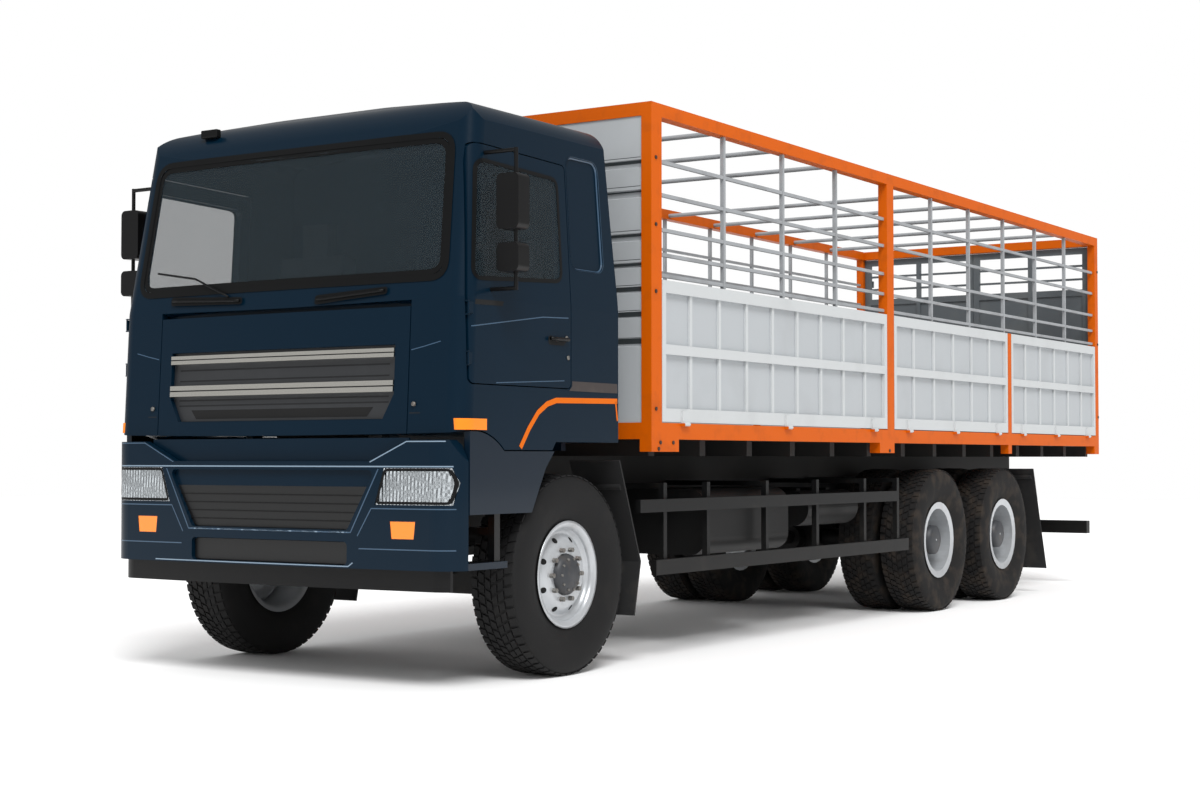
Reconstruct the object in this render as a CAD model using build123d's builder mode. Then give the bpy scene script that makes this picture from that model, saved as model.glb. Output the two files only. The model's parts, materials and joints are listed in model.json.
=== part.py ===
"""Three-axle cab-over lorry with a stake-sided load body, built from its real pieces.

The lorry faces -Y, +X is its left side, +Z is up, and the origin is on the ground under its middle.
"""

from math import atan2, cos, degrees, radians, sin, sqrt
import os

from build123d import *

os.makedirs("parts", exist_ok=True)

# Overall sizes
overall_length = 10300
body_width = 2500
cab_width = 2490
body_length = 8350
body_top_z = 3330
front_y = -overall_length / 2
body_rear_y = overall_length / 2
body_front_y = body_rear_y - body_length
sides = (("left", 1), ("right", -1))
seat_gap = 0.3
moving_gap = 6

# Axles and wheels
axle_front_y = -4000
axle_mid_y = 1300
axle_rear_y = 2700
tyre_radius = 560
tyre_width = 310
tyre_sides = 30
twin_spacing = 350
track_half = 1065
rim_radius = 258
flange_radius = 298
rim_width = 250
rim_wall = 12
hub_radius = 120
spindle_radius = 45
running_gap = 0.05
kingpin_x = 860
kingpin_radius = 25

# Chassis
rail_outer = 430
rail_top_z = 1060
rail_height = 280
rail_flange = 80
rail_wall = 8
rail_front_y = -4980
rail_rear_y = 4950
deck_top_z = 1345
deck_floor = 25
bearer_height = 100

# Cab and its tilting
cab_bottom_z = 1250
cab_wall = 45
floor_top_z = 1370
floor_under_z = 1330
belt_z = 2040
cab_rear_y = -3562
nose_low_y = -5098
nose_belt_y = -5054
screen_slope = 120 / 780
roof_line_z = 2935
loft_top_z = 3300
tilt_y = -4950
tilt_z = 950
tilt_radius = 403
tilt_pin_radius = 22
tunnel_half = 420
tunnel_top_z = 1690
tunnel_wall = 25

# Doors
door_front_y = -4985
door_rear_y = -4055
door_bottom_z = 1592
door_top_z = 2850

# Front lid
lid_half = 900
lid_bottom_z = 1295
lid_top_z = 1997

# Load body
gate_bottom_z = 1424
gate_top_z = 2275
gate_thickness = 40
side_rail_low_z = 1320
side_rail_top_z = 1418


def save(builder, name):
    """Names a finished piece and writes it."""
    builder.part.label = name
    export_step(builder.part, f"parts/{name}.step")


def bar(x_span, y_span, z_span, mode=Mode.ADD):
    """A straight bar between two corners, inside the open piece."""
    spans = (x_span, y_span, z_span)
    with Locations(Vector(*[(low + high) / 2 for low, high in spans])):
        Box(*[abs(high - low) for low, high in spans], mode=mode)


def rod_x(x_span, y, z, radius, mode=Mode.ADD):
    """A round bar along X."""
    with Locations(Location((sum(x_span) / 2, y, z), (0, 90, 0))):
        Cylinder(radius, abs(x_span[1] - x_span[0]), mode=mode)


def rod_y(x, y_span, z, radius, mode=Mode.ADD):
    """A round bar along Y."""
    with Locations(Location((x, sum(y_span) / 2, z), (90, 0, 0))):
        Cylinder(radius, abs(y_span[1] - y_span[0]), mode=mode)


def rod_z(x, y, z_span, radius, mode=Mode.ADD):
    """A round bar along Z."""
    with Locations((x, y, sum(z_span) / 2)):
        Cylinder(radius, abs(z_span[1] - z_span[0]), mode=mode)


# Chassis frame: two channel rails with spring hangers, tilt pivots and bumper brackets
cross_member_ys = (-4780, -2550, -1700, -700, 400, 3500, 4850)
engine_support_ys = (-4500, -3560)
engine_bottom_z = 800
spring_x = 395
front_spring_half = 700
bogie_y = (axle_mid_y + axle_rear_y) / 2
bogie_pin_z = 640
jaw_bore_radius = 26
jaw_height = 120
jaw_y = 5010
rail_low_z = rail_top_z - rail_height

with BuildPart() as chassis_frame:
    with BuildSketch(Plane.XZ.offset(-rail_front_y)) as channel:
        with BuildLine():
            Polyline(
                (rail_outer, rail_low_z),
                (rail_outer, rail_top_z),
                (rail_outer - rail_flange, rail_top_z),
                (rail_outer - rail_flange, rail_top_z - rail_wall),
                (rail_outer - rail_wall, rail_top_z - rail_wall),
                (rail_outer - rail_wall, rail_low_z + rail_wall),
                (rail_outer - rail_flange, rail_low_z + rail_wall),
                (rail_outer - rail_flange, rail_low_z),
                close=True,
            )
        make_face()
        mirror(about=Plane.YZ)
    extrude(amount=-(rail_rear_y - rail_front_y))
    for side in (1, -1):
        inner, outer = side * (spring_x - 40), side * (spring_x + 35)
        for y in (axle_front_y - front_spring_half, axle_front_y + front_spring_half):
            bar((inner, outer), (y - 60, y + 60), (720, rail_low_z + 1))
        bar((inner, outer), (bogie_y - 110, bogie_y + 110), (bogie_pin_z - 10, rail_low_z + 1))
        # Tilt pivot plates and their pins at the front ends of the rails
        plate = (side * (rail_outer - 1), side * (rail_outer + 22))
        bar(plate, (tilt_y - 50, tilt_y + 90), (tilt_z - 60, tilt_z + 60))
        rod_x((side * (rail_outer + 20), side * (rail_outer + 110)), tilt_y, tilt_z, tilt_pin_radius)
        # Bumper brackets
        bar((side * 360, side * (rail_outer - 6)), (front_y + 62, rail_front_y + 20), (820, 1000))
save(chassis_frame, "chassis_frame")

# Cross members seated inside the channels, engine supports under them, towing jaw on the last one
cross_half = rail_outer - rail_wall - seat_gap
cross_top_z = rail_top_z - rail_wall - seat_gap
support_half = rail_outer - rail_flange - moving_gap

with BuildPart() as cross_members:
    for y in cross_member_ys:
        bar((-cross_half, cross_half), (y - 50, y + 50), (rail_top_z - 100, cross_top_z))
    for y in engine_support_ys:
        bar((-rail_outer, rail_outer), (y - 40, y + 40), (engine_bottom_z - 70, rail_low_z - seat_gap))
        bar((-support_half, support_half), (y - 40, y + 40), (engine_bottom_z - 70, engine_bottom_z))
    bar((-70, 70), (cross_member_ys[-1], jaw_y + 60), (rail_top_z - 110, rail_top_z - 110 + jaw_height))
    rod_z(0, jaw_y, (900, 1200), jaw_bore_radius, Mode.SUBTRACT)
save(cross_members, "cross_members")

# Engine: one plain block in its real place
engine_half = 335
engine_front_y = -4640
engine_rear_y = -3420
engine_top_z = 1590

with BuildPart() as engine_block:
    bar((-engine_half, engine_half), (engine_front_y, engine_rear_y), (engine_bottom_z, rail_top_z - 110))
    bar((-engine_half, engine_half), (-4700, engine_rear_y), (rail_top_z - 112, engine_top_z))
save(engine_block, "engine_block")

# Gearbox and propeller shafts
gearbox_rear_y = -2680
shaft_radius = 50
shaft_front_z = 860
axle_nose = 270
axle_z = tyre_radius

with BuildPart() as transmission:
    with BuildSketch(Plane.XZ.offset(-engine_rear_y)):
        with Locations((0, 900)):
            RectangleRounded(460, 460, 60)
    with BuildSketch(Plane.XZ.offset(-gearbox_rear_y)):
        with Locations((0, shaft_front_z)):
            RectangleRounded(240, 240, 60)
    loft(ruled=True)
    for start, end in (
        ((gearbox_rear_y - 5, shaft_front_z), (axle_mid_y - axle_nose - 4.5, axle_z)),
        ((axle_mid_y + 200, axle_z), (axle_rear_y - axle_nose, axle_z)),
    ):
        length = sqrt((end[0] - start[0]) ** 2 + (end[1] - start[1]) ** 2)
        pitch = degrees(atan2(end[1] - start[1], end[0] - start[0]))
        middle = (0, (start[0] + end[0]) / 2, (start[1] + end[1]) / 2)
        with Locations(Location(middle, (pitch - 90, 0, 0))):
            Cylinder(shaft_radius, length)
save(transmission, "transmission")

# Front axle beam with its kingpins
beam_half_depth = 45
boss_radius = 52
boss_low_z = 500
boss_high_z = 620
ear_gap = 2
ear_height = 50

with BuildPart() as front_axle:
    with BuildSketch(Plane.XZ.offset(-axle_front_y)):
        with BuildLine():
            Polyline(
                (0, 430),
                (560, 430),
                (760, boss_low_z),
                (kingpin_x, boss_low_z),
                (kingpin_x, boss_high_z),
                (760, boss_high_z),
                (560, 560),
                (0, 560),
                close=True,
            )
        make_face()
        mirror(about=Plane.YZ)
    extrude(amount=beam_half_depth, both=True)
    for side in (1, -1):
        inner, outer = side * (spring_x - 40), side * (spring_x + 35)
        bar((inner, outer), (axle_front_y - 80, axle_front_y + 80), (540, boss_high_z))
        rod_z(side * kingpin_x, axle_front_y, (boss_low_z, boss_high_z), boss_radius)
        pin_span = (boss_low_z - ear_height, boss_high_z + ear_height)
        rod_z(side * kingpin_x, axle_front_y, pin_span, kingpin_radius)
save(front_axle, "front_axle")

# Steering knuckles: two ears round the kingpin, a plate and the wheel's spindle
knuckle_plate_x = kingpin_x + boss_radius + 8
hub_inner_x = knuckle_plate_x + 40
spindle_end_x = 1140

for name, side in sides:
    with BuildPart() as knuckle:
        for low in (boss_low_z - ear_gap - ear_height, boss_high_z + ear_gap):
            rod_z(side * kingpin_x, axle_front_y, (low, low + ear_height), boss_radius)
            reach = (side * kingpin_x, side * (knuckle_plate_x + 20))
            bar(reach, (axle_front_y - 45, axle_front_y + 45), (low, low + ear_height))
        plate = (side * knuckle_plate_x, side * (knuckle_plate_x + 35))
        plate_z = (boss_low_z - ear_gap - ear_height, boss_high_z + ear_gap + ear_height)
        bar(plate, (axle_front_y - 75, axle_front_y + 75), plate_z)
        spindle = (side * (knuckle_plate_x + 30), side * spindle_end_x)
        rod_x(spindle, axle_front_y, axle_z, spindle_radius)
        bore = (plate_z[0] - 10, plate_z[1] + 10)
        rod_z(side * kingpin_x, axle_front_y, bore, kingpin_radius + running_gap, Mode.SUBTRACT)
    save(knuckle, f"knuckle_{name}")

# Rear axles: casings with final drives, spring pads and spindles
casing_radius = 70
casing_end_x = 620
pad_top_z = 655

with BuildPart() as rear_axles:
    for y in (axle_mid_y, axle_rear_y):
        rod_x((-casing_end_x, casing_end_x), y, axle_z, casing_radius)
        rod_y(0, (y - 150, y + 150), axle_z, 200)
        rod_y(0, (y - axle_nose, y), axle_z, 95)
        for side in (1, -1):
            bar((side * (spring_x - 40), side * (spring_x + 35)), (y - 80, y + 80), (axle_z, pad_top_z))
            rod_x((side * (casing_end_x - 5), side * spindle_end_x), y, axle_z, spindle_radius)
    bar((-60, 60), (axle_mid_y + 150, axle_mid_y + 200), (axle_z - 60, axle_z + 60))
save(rear_axles, "rear_axles")

# Leaf springs: front packs under the rails, bogie packs from axle to axle
with BuildPart() as leaf_springs:
    inner = Plane.YZ.offset(spring_x - 35)
    low, high = axle_front_y - front_spring_half, axle_front_y + front_spring_half
    with BuildSketch(inner):
        with BuildLine():
            ThreePointArc((low - 50, 690), (axle_front_y, boss_high_z + 20), (high + 50, 690))
            Line((high + 50, 690), (high + 50, 720))
            Line((high + 50, 720), (high - 50, 720))
            ThreePointArc((high - 50, 720), (axle_front_y, 690), (low + 50, 720))
            Line((low + 50, 720), (low - 50, 720))
            Line((low - 50, 720), (low - 50, 690))
        make_face()
        with Locations((axle_front_y, boss_high_z + 40)):
            Rectangle(140, 80)
    extrude(amount=65)
    with BuildSketch(inner):
        with BuildLine():
            Line((axle_mid_y - 80, pad_top_z), (axle_mid_y + 80, pad_top_z))
            ThreePointArc((axle_mid_y + 80, pad_top_z), (bogie_y, 540), (axle_rear_y - 80, pad_top_z))
            Line((axle_rear_y - 80, pad_top_z), (axle_rear_y + 80, pad_top_z))
            Line((axle_rear_y + 80, pad_top_z), (axle_rear_y + 80, pad_top_z + 30))
            Line((axle_rear_y + 80, pad_top_z + 30), (axle_rear_y - 80, pad_top_z + 30))
            Line((axle_rear_y - 80, pad_top_z + 30), (bogie_y + 110, bogie_pin_z - 10))
            Line((bogie_y + 110, bogie_pin_z - 10), (bogie_y - 110, bogie_pin_z - 10))
            Line((bogie_y - 110, bogie_pin_z - 10), (axle_mid_y + 80, pad_top_z + 30))
            Line((axle_mid_y + 80, pad_top_z + 30), (axle_mid_y - 80, pad_top_z + 30))
            Line((axle_mid_y - 80, pad_top_z + 30), (axle_mid_y - 80, pad_top_z))
        make_face()
    extrude(amount=65)
    mirror(about=Plane.YZ)
save(leaf_springs, "leaf_springs")


# Wheels and tyres. Each is a many-sided drum about its axle line, one flat side down.
def ring(points, x_sign, y):
    """A closed drum of flat facets about an axle line, from (x, radius) points."""
    corner_share = 1 / cos(radians(180 / tyre_sides))
    turns = [radians(360 * (index + 0.5) / tyre_sides) for index in range(tyre_sides + 1)]

    def corner(point, turn):
        x, radius = point
        reach = radius * corner_share
        return Vector(x_sign * x, y + reach * sin(turn), axle_z - reach * cos(turn))

    facets = []
    for start, end in zip(points, points[1:] + points[:1]):
        if start[1] == 0 and end[1] == 0:
            continue
        for first, second in zip(turns, turns[1:]):
            outline = [corner(start, first), corner(start, second), corner(end, second), corner(end, first)]
            if start[1] == 0:
                outline = outline[1:]
            if end[1] == 0:
                outline = outline[:3]
            facets.append(Face(Wire.make_polygon(outline, close=True)))
    solid = Solid(Shell(facets))
    add(solid if solid.volume > 0 else -solid)


def tyre_at(x, side, y):
    """One tyre with sunk side walls, centred at x."""
    half = tyre_width / 2
    bead_x = half - 46
    ring(
        (
            (x - half, tyre_radius * 0.74),
            (x - half, tyre_radius * 0.84),
            (x - half + 30, tyre_radius),
            (x + half - 30, tyre_radius),
            (x + half, tyre_radius * 0.84),
            (x + half, tyre_radius * 0.74),
            (x + bead_x, flange_radius + 4),
            (x + bead_x, rim_radius + seat_gap),
            (x - bead_x, rim_radius + seat_gap),
            (x - bead_x, flange_radius + 4),
        ),
        side,
        y,
    )


front_twins = (("front_left", 1, axle_front_y), ("front_right", -1, axle_front_y))
rear_twins = tuple(
    (f"{row}_{name}", side, y)
    for row, y in (("mid", axle_mid_y), ("rear", axle_rear_y))
    for name, side in sides
)
rim_half = rim_width / 2
hand_hole_radius = 24
hand_hole_count = 10
drum_radius = 205

for name, side, y in front_twins:
    with BuildPart() as tyre:
        tyre_at(track_half, side, y)
    save(tyre, f"tyre_{name}")
    outer_x = track_half + rim_half
    inner_x = track_half - rim_half
    with BuildPart() as rim:
        # Barrel with its flanges, then the dished disc, then the hub with its cap
        ring(
            (
                (inner_x, flange_radius),
                (inner_x + 14, rim_radius),
                (outer_x - 14, rim_radius),
                (outer_x, flange_radius),
                (outer_x - 8, rim_radius - rim_wall),
                (inner_x + 8, rim_radius - rim_wall),
            ),
            side,
            y,
        )
        ring(
            (
                (outer_x - 80, rim_radius - rim_wall + 2),
                (outer_x - 66, rim_radius - rim_wall + 2),
                (outer_x - 18, 190),
                (outer_x - 18, hub_radius - 5),
                (outer_x - 32, hub_radius - 5),
                (outer_x - 32, 186),
            ),
            side,
            y,
        )
        ring(
            (
                (hub_inner_x, 0),
                (hub_inner_x, drum_radius),
                (hub_inner_x + 150, drum_radius),
                (hub_inner_x + 150, hub_radius),
                (outer_x - 5, hub_radius),
                (outer_x + 25, 75),
                (outer_x + 30, 0),
            ),
            side,
            y,
        )
        rod_x((side * 900, side * (spindle_end_x + 5)), y, axle_z, spindle_radius + running_gap, Mode.SUBTRACT)
        with Locations(Location((side * (outer_x - 40), y, axle_z), (0, 90, 0))):
            with PolarLocations(212, hand_hole_count):
                Cylinder(hand_hole_radius, 100, mode=Mode.SUBTRACT)
    save(rim, f"rim_{name}")

# Twin rear wheels: two tyres on one pair of rims with a shared hub and drum
for name, side, y in rear_twins:
    inner_track = track_half - twin_spacing
    with BuildPart() as tyre:
        tyre_at(track_half, side, y)
        tyre_at(inner_track, side, y)
    save(tyre, f"tyres_{name}")
    outer_x = track_half + rim_half
    inner_x = track_half - rim_half
    disc_x = (track_half + inner_track) / 2
    barrel = rim_radius - rim_wall
    with BuildPart() as rims:
        # Barrel and dished disc of each rim, the discs back to back at disc_x
        for centre_x, away in ((disc_x, 1), (disc_x, -1)):
            near, far = centre_x + away * (inner_x - disc_x), centre_x + away * (outer_x - disc_x)
            ring(
                (
                    (near, flange_radius),
                    (near + away * 14, rim_radius),
                    (far - away * 14, rim_radius),
                    (far, flange_radius),
                    (far - away * 8, barrel),
                    (near + away * 8, barrel),
                ),
                side,
                y,
            )
            ring(
                (
                    (centre_x, hub_radius),
                    (centre_x, 190),
                    (near + away * 12, barrel + 4),
                    (near + away * 28, barrel + 4),
                    (centre_x + away * 14, 186),
                    (centre_x + away * 14, hub_radius),
                ),
                side,
                y,
            )
        ring(
            (
                (casing_end_x + 8, 0),
                (casing_end_x + 8, drum_radius),
                (disc_x - 40, drum_radius),
                (disc_x - 40, hub_radius + 5),
                (disc_x + 60, hub_radius + 5),
                (outer_x - 60, 105),
                (outer_x - 20, 0),
            ),
            side,
            y,
        )
        span = (side * (casing_end_x - 5), side * (spindle_end_x + 5))
        rod_x(span, y, axle_z, spindle_radius + running_gap, Mode.SUBTRACT)
    save(rims, f"rims_{name}")

# Fuel tank on the left, battery box on the right, air tanks on both sides, all strapped to the rails
with BuildPart() as chassis_tanks:
    with BuildSketch(Plane.XZ.offset(2330)):
        with Locations((800, 800)):
            RectangleRounded(640, 420, 110)
    extrude(amount=-1150)
    for y in (-2100, -1420):
        bar((rail_outer, 500), (y - 30, y + 30), (rail_low_z + 20, 980))
    bar((-1060, -480), (-2330, -1450), (640, 960))
    bar((-1075, -470), (-2345, -1435), (960, 1000))
    for y in (-2150, -1650):
        bar((-500, -rail_outer), (y - 30, y + 30), (rail_low_z + 20, 980))
    for side in (1, -1):
        for x, z in ((640, 850), (940, 850)):
            rod_y(side * x, (-760, 60), z, 125)
        bar((side * rail_outer, side * 900), (-620, -560), (960, 990))
        bar((side * rail_outer, side * 900), (-140, -80), (960, 990))
save(chassis_tanks, "chassis_tanks")

# Side guards: two rails and their posts on arms from the chassis
guard_post_ys = (-2960, -2430, -1640, -890, -110)
guard_x = (1200, 1235)

with BuildPart() as side_guards:
    bar(guard_x, (-3300, 420), (885, 961))
    bar(guard_x, (-3120, 600), (510, 600))
    for y in guard_post_ys:
        bar((1165, guard_x[0] + 1), (y - 20, y + 20), (510, 1058))
    for y in (guard_post_ys[0], guard_post_ys[2], guard_post_ys[4]):
        bar((rail_outer, 1190), (y - 20, y + 20), (1024, 1056))
    bar((1165, guard_x[0] + 1), (460, 500), (510, 1058))
    bar((rail_outer, 1190), (460, 500), (1024, 1056))
    mirror(about=Plane.YZ)
save(side_guards, "side_guards")

# Mudguard flaps behind the wheels, each hung from a bracket on the rail
with BuildPart() as mud_flaps:
    for bracket_y, bracket_z, route in (
        (-3461, 1040, ((-3520, 1190), (-3290, 600), (-3360, 290))),
        (3385, 1040, ((3360, 1110), (3470, 800), (3680, 220))),
    ):
        with BuildSketch(Plane.YZ.offset(880)):
            with BuildLine():
                line = Polyline(*route)
                offset(line, amount=12, side=Side.LEFT)
            make_face()
        extrude(amount=345)
        rod_x((rail_outer, 1200), bracket_y, bracket_z, 18)
    mirror(about=Plane.YZ)
save(mud_flaps, "mud_flaps")

# Underrun bar behind the last axle
with BuildPart() as underrun_bar:
    bar((-1150, 1150), (5040, 5130), (485, 605))
    for side in (1, -1):
        bar((side * rail_outer, side * (rail_outer + 20)), (4700, 4945), (500, 1000))
        bar((side * rail_outer, side * (rail_outer + 20)), (4900, 5045), (500, 600))
save(underrun_bar, "underrun_bar")

# Load deck: long bearers on the rails, cross bearers, floor
deck_half = 1168
cross_bearer_count = 14

with BuildPart() as load_deck:
    deck_front, deck_rear = body_front_y + 82, body_rear_y - 112
    bar((-deck_half, deck_half), (deck_front, deck_rear), (deck_top_z - deck_floor, deck_top_z))
    under_z = deck_top_z - deck_floor
    bearer_low_z = under_z - bearer_height
    for side in (1, -1):
        bar((side * 350, side * rail_outer), (-3150, 4900), (rail_top_z, bearer_low_z + 1))
    pitch = (deck_rear - deck_front - 100) / (cross_bearer_count - 1)
    for index in range(cross_bearer_count):
        y = deck_front + 50 + index * pitch
        bar((-deck_half, deck_half), (y - 35, y + 35), (bearer_low_z, under_z + 1))
save(load_deck, "load_deck")

# Body frame: corner posts, middle posts, short posts, rails and sills
post_inner_x = 1180
post_outer_x = body_width / 2
post_rear_face_y = body_rear_y - 30
post_low_z = 1245
rail_tube = 80
posts = (
    # y from, y to, top
    (body_front_y, body_front_y + 120, body_top_z),
    (190, 310, body_top_z),
    (2690, 2770, gate_top_z),
    (post_rear_face_y - 90, post_rear_face_y, body_top_z),
)
bays = tuple((first[1], second[0]) for first, second in zip(posts, posts[1:]))
gate_axis_x = post_outer_x + 18
gate_axis_z = 1412
barrel_radius = 12
pin_radius = 6
gate_hinges = tuple((low + 260, (low + high) / 2, high - 260) for low, high in bays)

with BuildPart() as body_frame:
    for low, high, top in posts:
        bar((post_inner_x, post_outer_x), (low, high), (post_low_z, top))
    top_low = body_top_z - rail_tube
    span = (body_front_y, post_rear_face_y)
    bar((post_outer_x - rail_tube, post_outer_x), span, (top_low, body_top_z))
    bar((deck_half, post_outer_x), span, (side_rail_low_z, side_rail_top_z))
    for low, high in ((body_front_y, -2880), (50, 310), (4990, post_rear_face_y)):
        bar((deck_half, post_outer_x), (low, high), (post_low_z, side_rail_low_z + 1))
    mirror(about=Plane.YZ)
    across = (-post_inner_x - 1, post_inner_x + 1)
    for low, high in ((body_front_y, body_front_y + rail_tube), (post_rear_face_y - rail_tube, post_rear_face_y)):
        bar(across, (low, high), (top_low, body_top_z))
        bar(across, (low, high), (side_rail_low_z, side_rail_top_z))
    bar(across, (post_rear_face_y - 30, post_rear_face_y), (post_low_z, side_rail_low_z + 1))
    # Lugs and pins that carry the drop sides
    for side in (1, -1):
        for hinge_ys in gate_hinges:
            for y in hinge_ys:
                for low in (y - 42, y + 34):
                    lug = (side * (post_outer_x - 1), side * (gate_axis_x + barrel_radius))
                    bar(lug, (low, low + 8), (gate_axis_z - barrel_radius, gate_axis_z + 5))
                rod_y(side * gate_axis_x, (y - 42, y + 42), gate_axis_z, pin_radius)
    # Lugs and pins that carry the rear doors
    door_axis_x = post_inner_x + 6
    door_axis_y = body_rear_y - barrel_radius
    rear_door_hinge_zs = (1600, 2300, 3000)
    for side in (1, -1):
        for z in rear_door_hinge_zs:
            for low in (z - 42, z + 34):
                lug = (side * door_axis_x, side * (door_axis_x + barrel_radius))
                bar(lug, (post_rear_face_y - 1, body_rear_y), (low, low + 8))
            rod_z(side * door_axis_x, door_axis_y, (z - 42, z + 42), pin_radius)
save(body_frame, "body_frame")

# Drop sides: framed sheets with upright ribs, hinged on the lower rail
gate_mid_z = (1830, 1890)
gate_low_top_z = 1505
gate_high_low_z = 2200
rib_columns = (9, 6, 6)
gate_inner_x = post_outer_x - gate_thickness

for name, side in sides:
    for number, ((low, high), columns, hinge_ys) in enumerate(zip(bays, rib_columns, gate_hinges), 1):
        start, end = low + moving_gap, high - moving_gap
        faces = (side * gate_inner_x, side * post_outer_x)
        with BuildPart() as gate:
            bar((side * (gate_inner_x + 8), side * (gate_inner_x + 14)), (start, end), (gate_bottom_z, gate_top_z))
            for z_span in ((gate_bottom_z, gate_low_top_z), gate_mid_z, (gate_high_low_z, gate_top_z)):
                bar(faces, (start, end), z_span)
            for y in (start, end - 45):
                bar(faces, (y, y + 45), (gate_bottom_z, gate_top_z))
            column = (end - start) / columns
            for index in range(1, columns):
                y = start + index * column
                rib = (side * (gate_inner_x + 10), side * (post_outer_x - 10))
                bar(rib, (y - 14, y + 14), (gate_bottom_z + 1, gate_top_z - 1))
            for y in hinge_ys:
                rod_y(side * gate_axis_x, (y - 33, y + 33), gate_axis_z, barrel_radius)
                leaf = (side * (post_outer_x - 1), side * (gate_axis_x - 4))
                bar(leaf, (y - 33, y + 33), (gate_axis_z + 8, gate_bottom_z + 70))
                rod_y(side * gate_axis_x, (y - 40, y + 40), gate_axis_z, pin_radius + running_gap, Mode.SUBTRACT)
        save(gate, f"drop_side_{name}_{number}")

# Stake cage: uprights and level tubes above the drop sides, and the tubes across the top
cage_x = 1215
stake_half = 13
tube_half = 11
cage_levels = (2990, 2790, 2580, 2430, 2305)
stake_parts = ((bays[0], 4), ((bays[1][0], bays[2][1]), 6))

with BuildPart() as stake_cage:
    for (low, high), parts in stake_parts:
        for z in cage_levels:
            bar((cage_x - tube_half, cage_x + tube_half), (low, high), (z - tube_half, z + tube_half))
        for index in range(1, parts):
            y = low + index * (high - low) / parts
            upright_z = (gate_top_z + moving_gap, top_low)
            bar((cage_x - stake_half, cage_x + stake_half), (y - stake_half, y + stake_half), upright_z)
            rod_x((0, post_outer_x - rail_tube), y, top_low + 30, 16)
    mirror(about=Plane.YZ)
save(stake_cage, "stake_cage")

# Headboard: a ribbed sheet between the front posts, its grooves facing the cab
groove_depth = 22
board_y = (body_front_y + 8, body_front_y + 48)
grooves = (
    # z from, z to
    (1870, 1920),
    (2040, 2080),
    (2190, 2230),
    (2340, 2375),
    (2500, 2550),
    (2760, 2810),
    (2940, 2990),
)

with BuildPart() as headboard:
    with BuildSketch(Plane.YZ.offset(-post_inner_x)):
        with BuildLine():
            outline = [(board_y[1], side_rail_top_z), (board_y[0], side_rail_top_z)]
            for low, high in grooves:
                outline.append((board_y[0], low))
                outline.append((board_y[0] + groove_depth, low + 8))
                outline.append((board_y[0] + groove_depth, high - 8))
                outline.append((board_y[0], high))
            outline += [(board_y[0], top_low), (board_y[1], top_low)]
            Polyline(*outline, close=True)
        make_face()
    extrude(amount=2 * post_inner_x)
save(headboard, "headboard")

# Rear doors: framed leaves with a sheet below and bars above
leaf_y = (post_rear_face_y - 45, post_rear_face_y - 5)
leaf_z = (side_rail_top_z + moving_gap, top_low - moving_gap)
sheet_top_z = 2780

for name, side in sides:
    near, far = side * moving_gap / 2, side * (post_inner_x - moving_gap)
    with BuildPart() as leaf:
        bar((near, far), (leaf_y[0] + 12, leaf_y[1] - 18), (leaf_z[0], sheet_top_z))
        for low in (leaf_z[0], 2070, sheet_top_z, leaf_z[1] - 60):
            bar((near, far), leaf_y, (low, low + 60))
        for start in (near, far - side * 60, (near + far) / 2 - side * 20):
            bar((start, start + side * (60 if start != (near + far) / 2 - side * 20 else 40)), leaf_y, leaf_z)
        for z in (2930, 3060):
            bar((near, far), (leaf_y[0] + 10, leaf_y[1] - 10), (z, z + 20))
        for z in rear_door_hinge_zs:
            rod_z(side * door_axis_x, door_axis_y, (z - 33, z + 33), barrel_radius)
            bar((far - side * 70, far - side), (leaf_y[1] - 1, door_axis_y), (z - 33, z + 33))
            bar((far - side * 2, side * door_axis_x), (door_axis_y - 8, door_axis_y), (z - 33, z + 33))
            rod_z(side * door_axis_x, door_axis_y, (z - 40, z + 40), pin_radius + running_gap, Mode.SUBTRACT)
    save(leaf, f"rear_door_{name}")

with BuildPart() as tail_lamps:
    for side in (1, -1):
        bar((side * 760, side * 1120), (post_rear_face_y, body_rear_y - 4), (1262, 1360))
save(tail_lamps, "tail_lamps")


# Cab form: three plan sections with a bowed nose, cut by the roof line and by the rounded roof edges
nose_bow = 30
nose_corner = 100
roof_half = 1169
roof_edge_rounding = 170
cab_half = cab_width / 2
glass_thickness = 8
nose_top_y = nose_belt_y + screen_slope * (loft_top_z - belt_z)
roof_outline = (
    # y, z, rounding
    (-5300, 1100, 0),
    (-5300, 2300, 0),
    (-5020, 2634, 0),
    (-4845, 3075, 250),
    (-4560, 3172, 500),
    (-3840, 3200, 500),
    (-3640, 3130, 120),
    (-3600, 2560, 600),
    (cab_rear_y, 2100, 600),
    (cab_rear_y, 1100, 0),
)


def cab_section(z, half, nose_y, inset):
    """A plan section of the cab."""
    half -= inset
    nose_y += inset
    rear_y = -3500
    with BuildSketch(Plane.XY.offset(z)) as section:
        with BuildLine():
            Polyline((half, nose_y + nose_bow), (half, rear_y), (-half, rear_y), (-half, nose_y + nose_bow))
            ThreePointArc((-half, nose_y + nose_bow), (0, nose_y), (half, nose_y + nose_bow))
        make_face()
        fillet(section.vertices().group_by(Axis.Y)[0], radius=nose_corner - inset)
    return section.sketch


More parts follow.
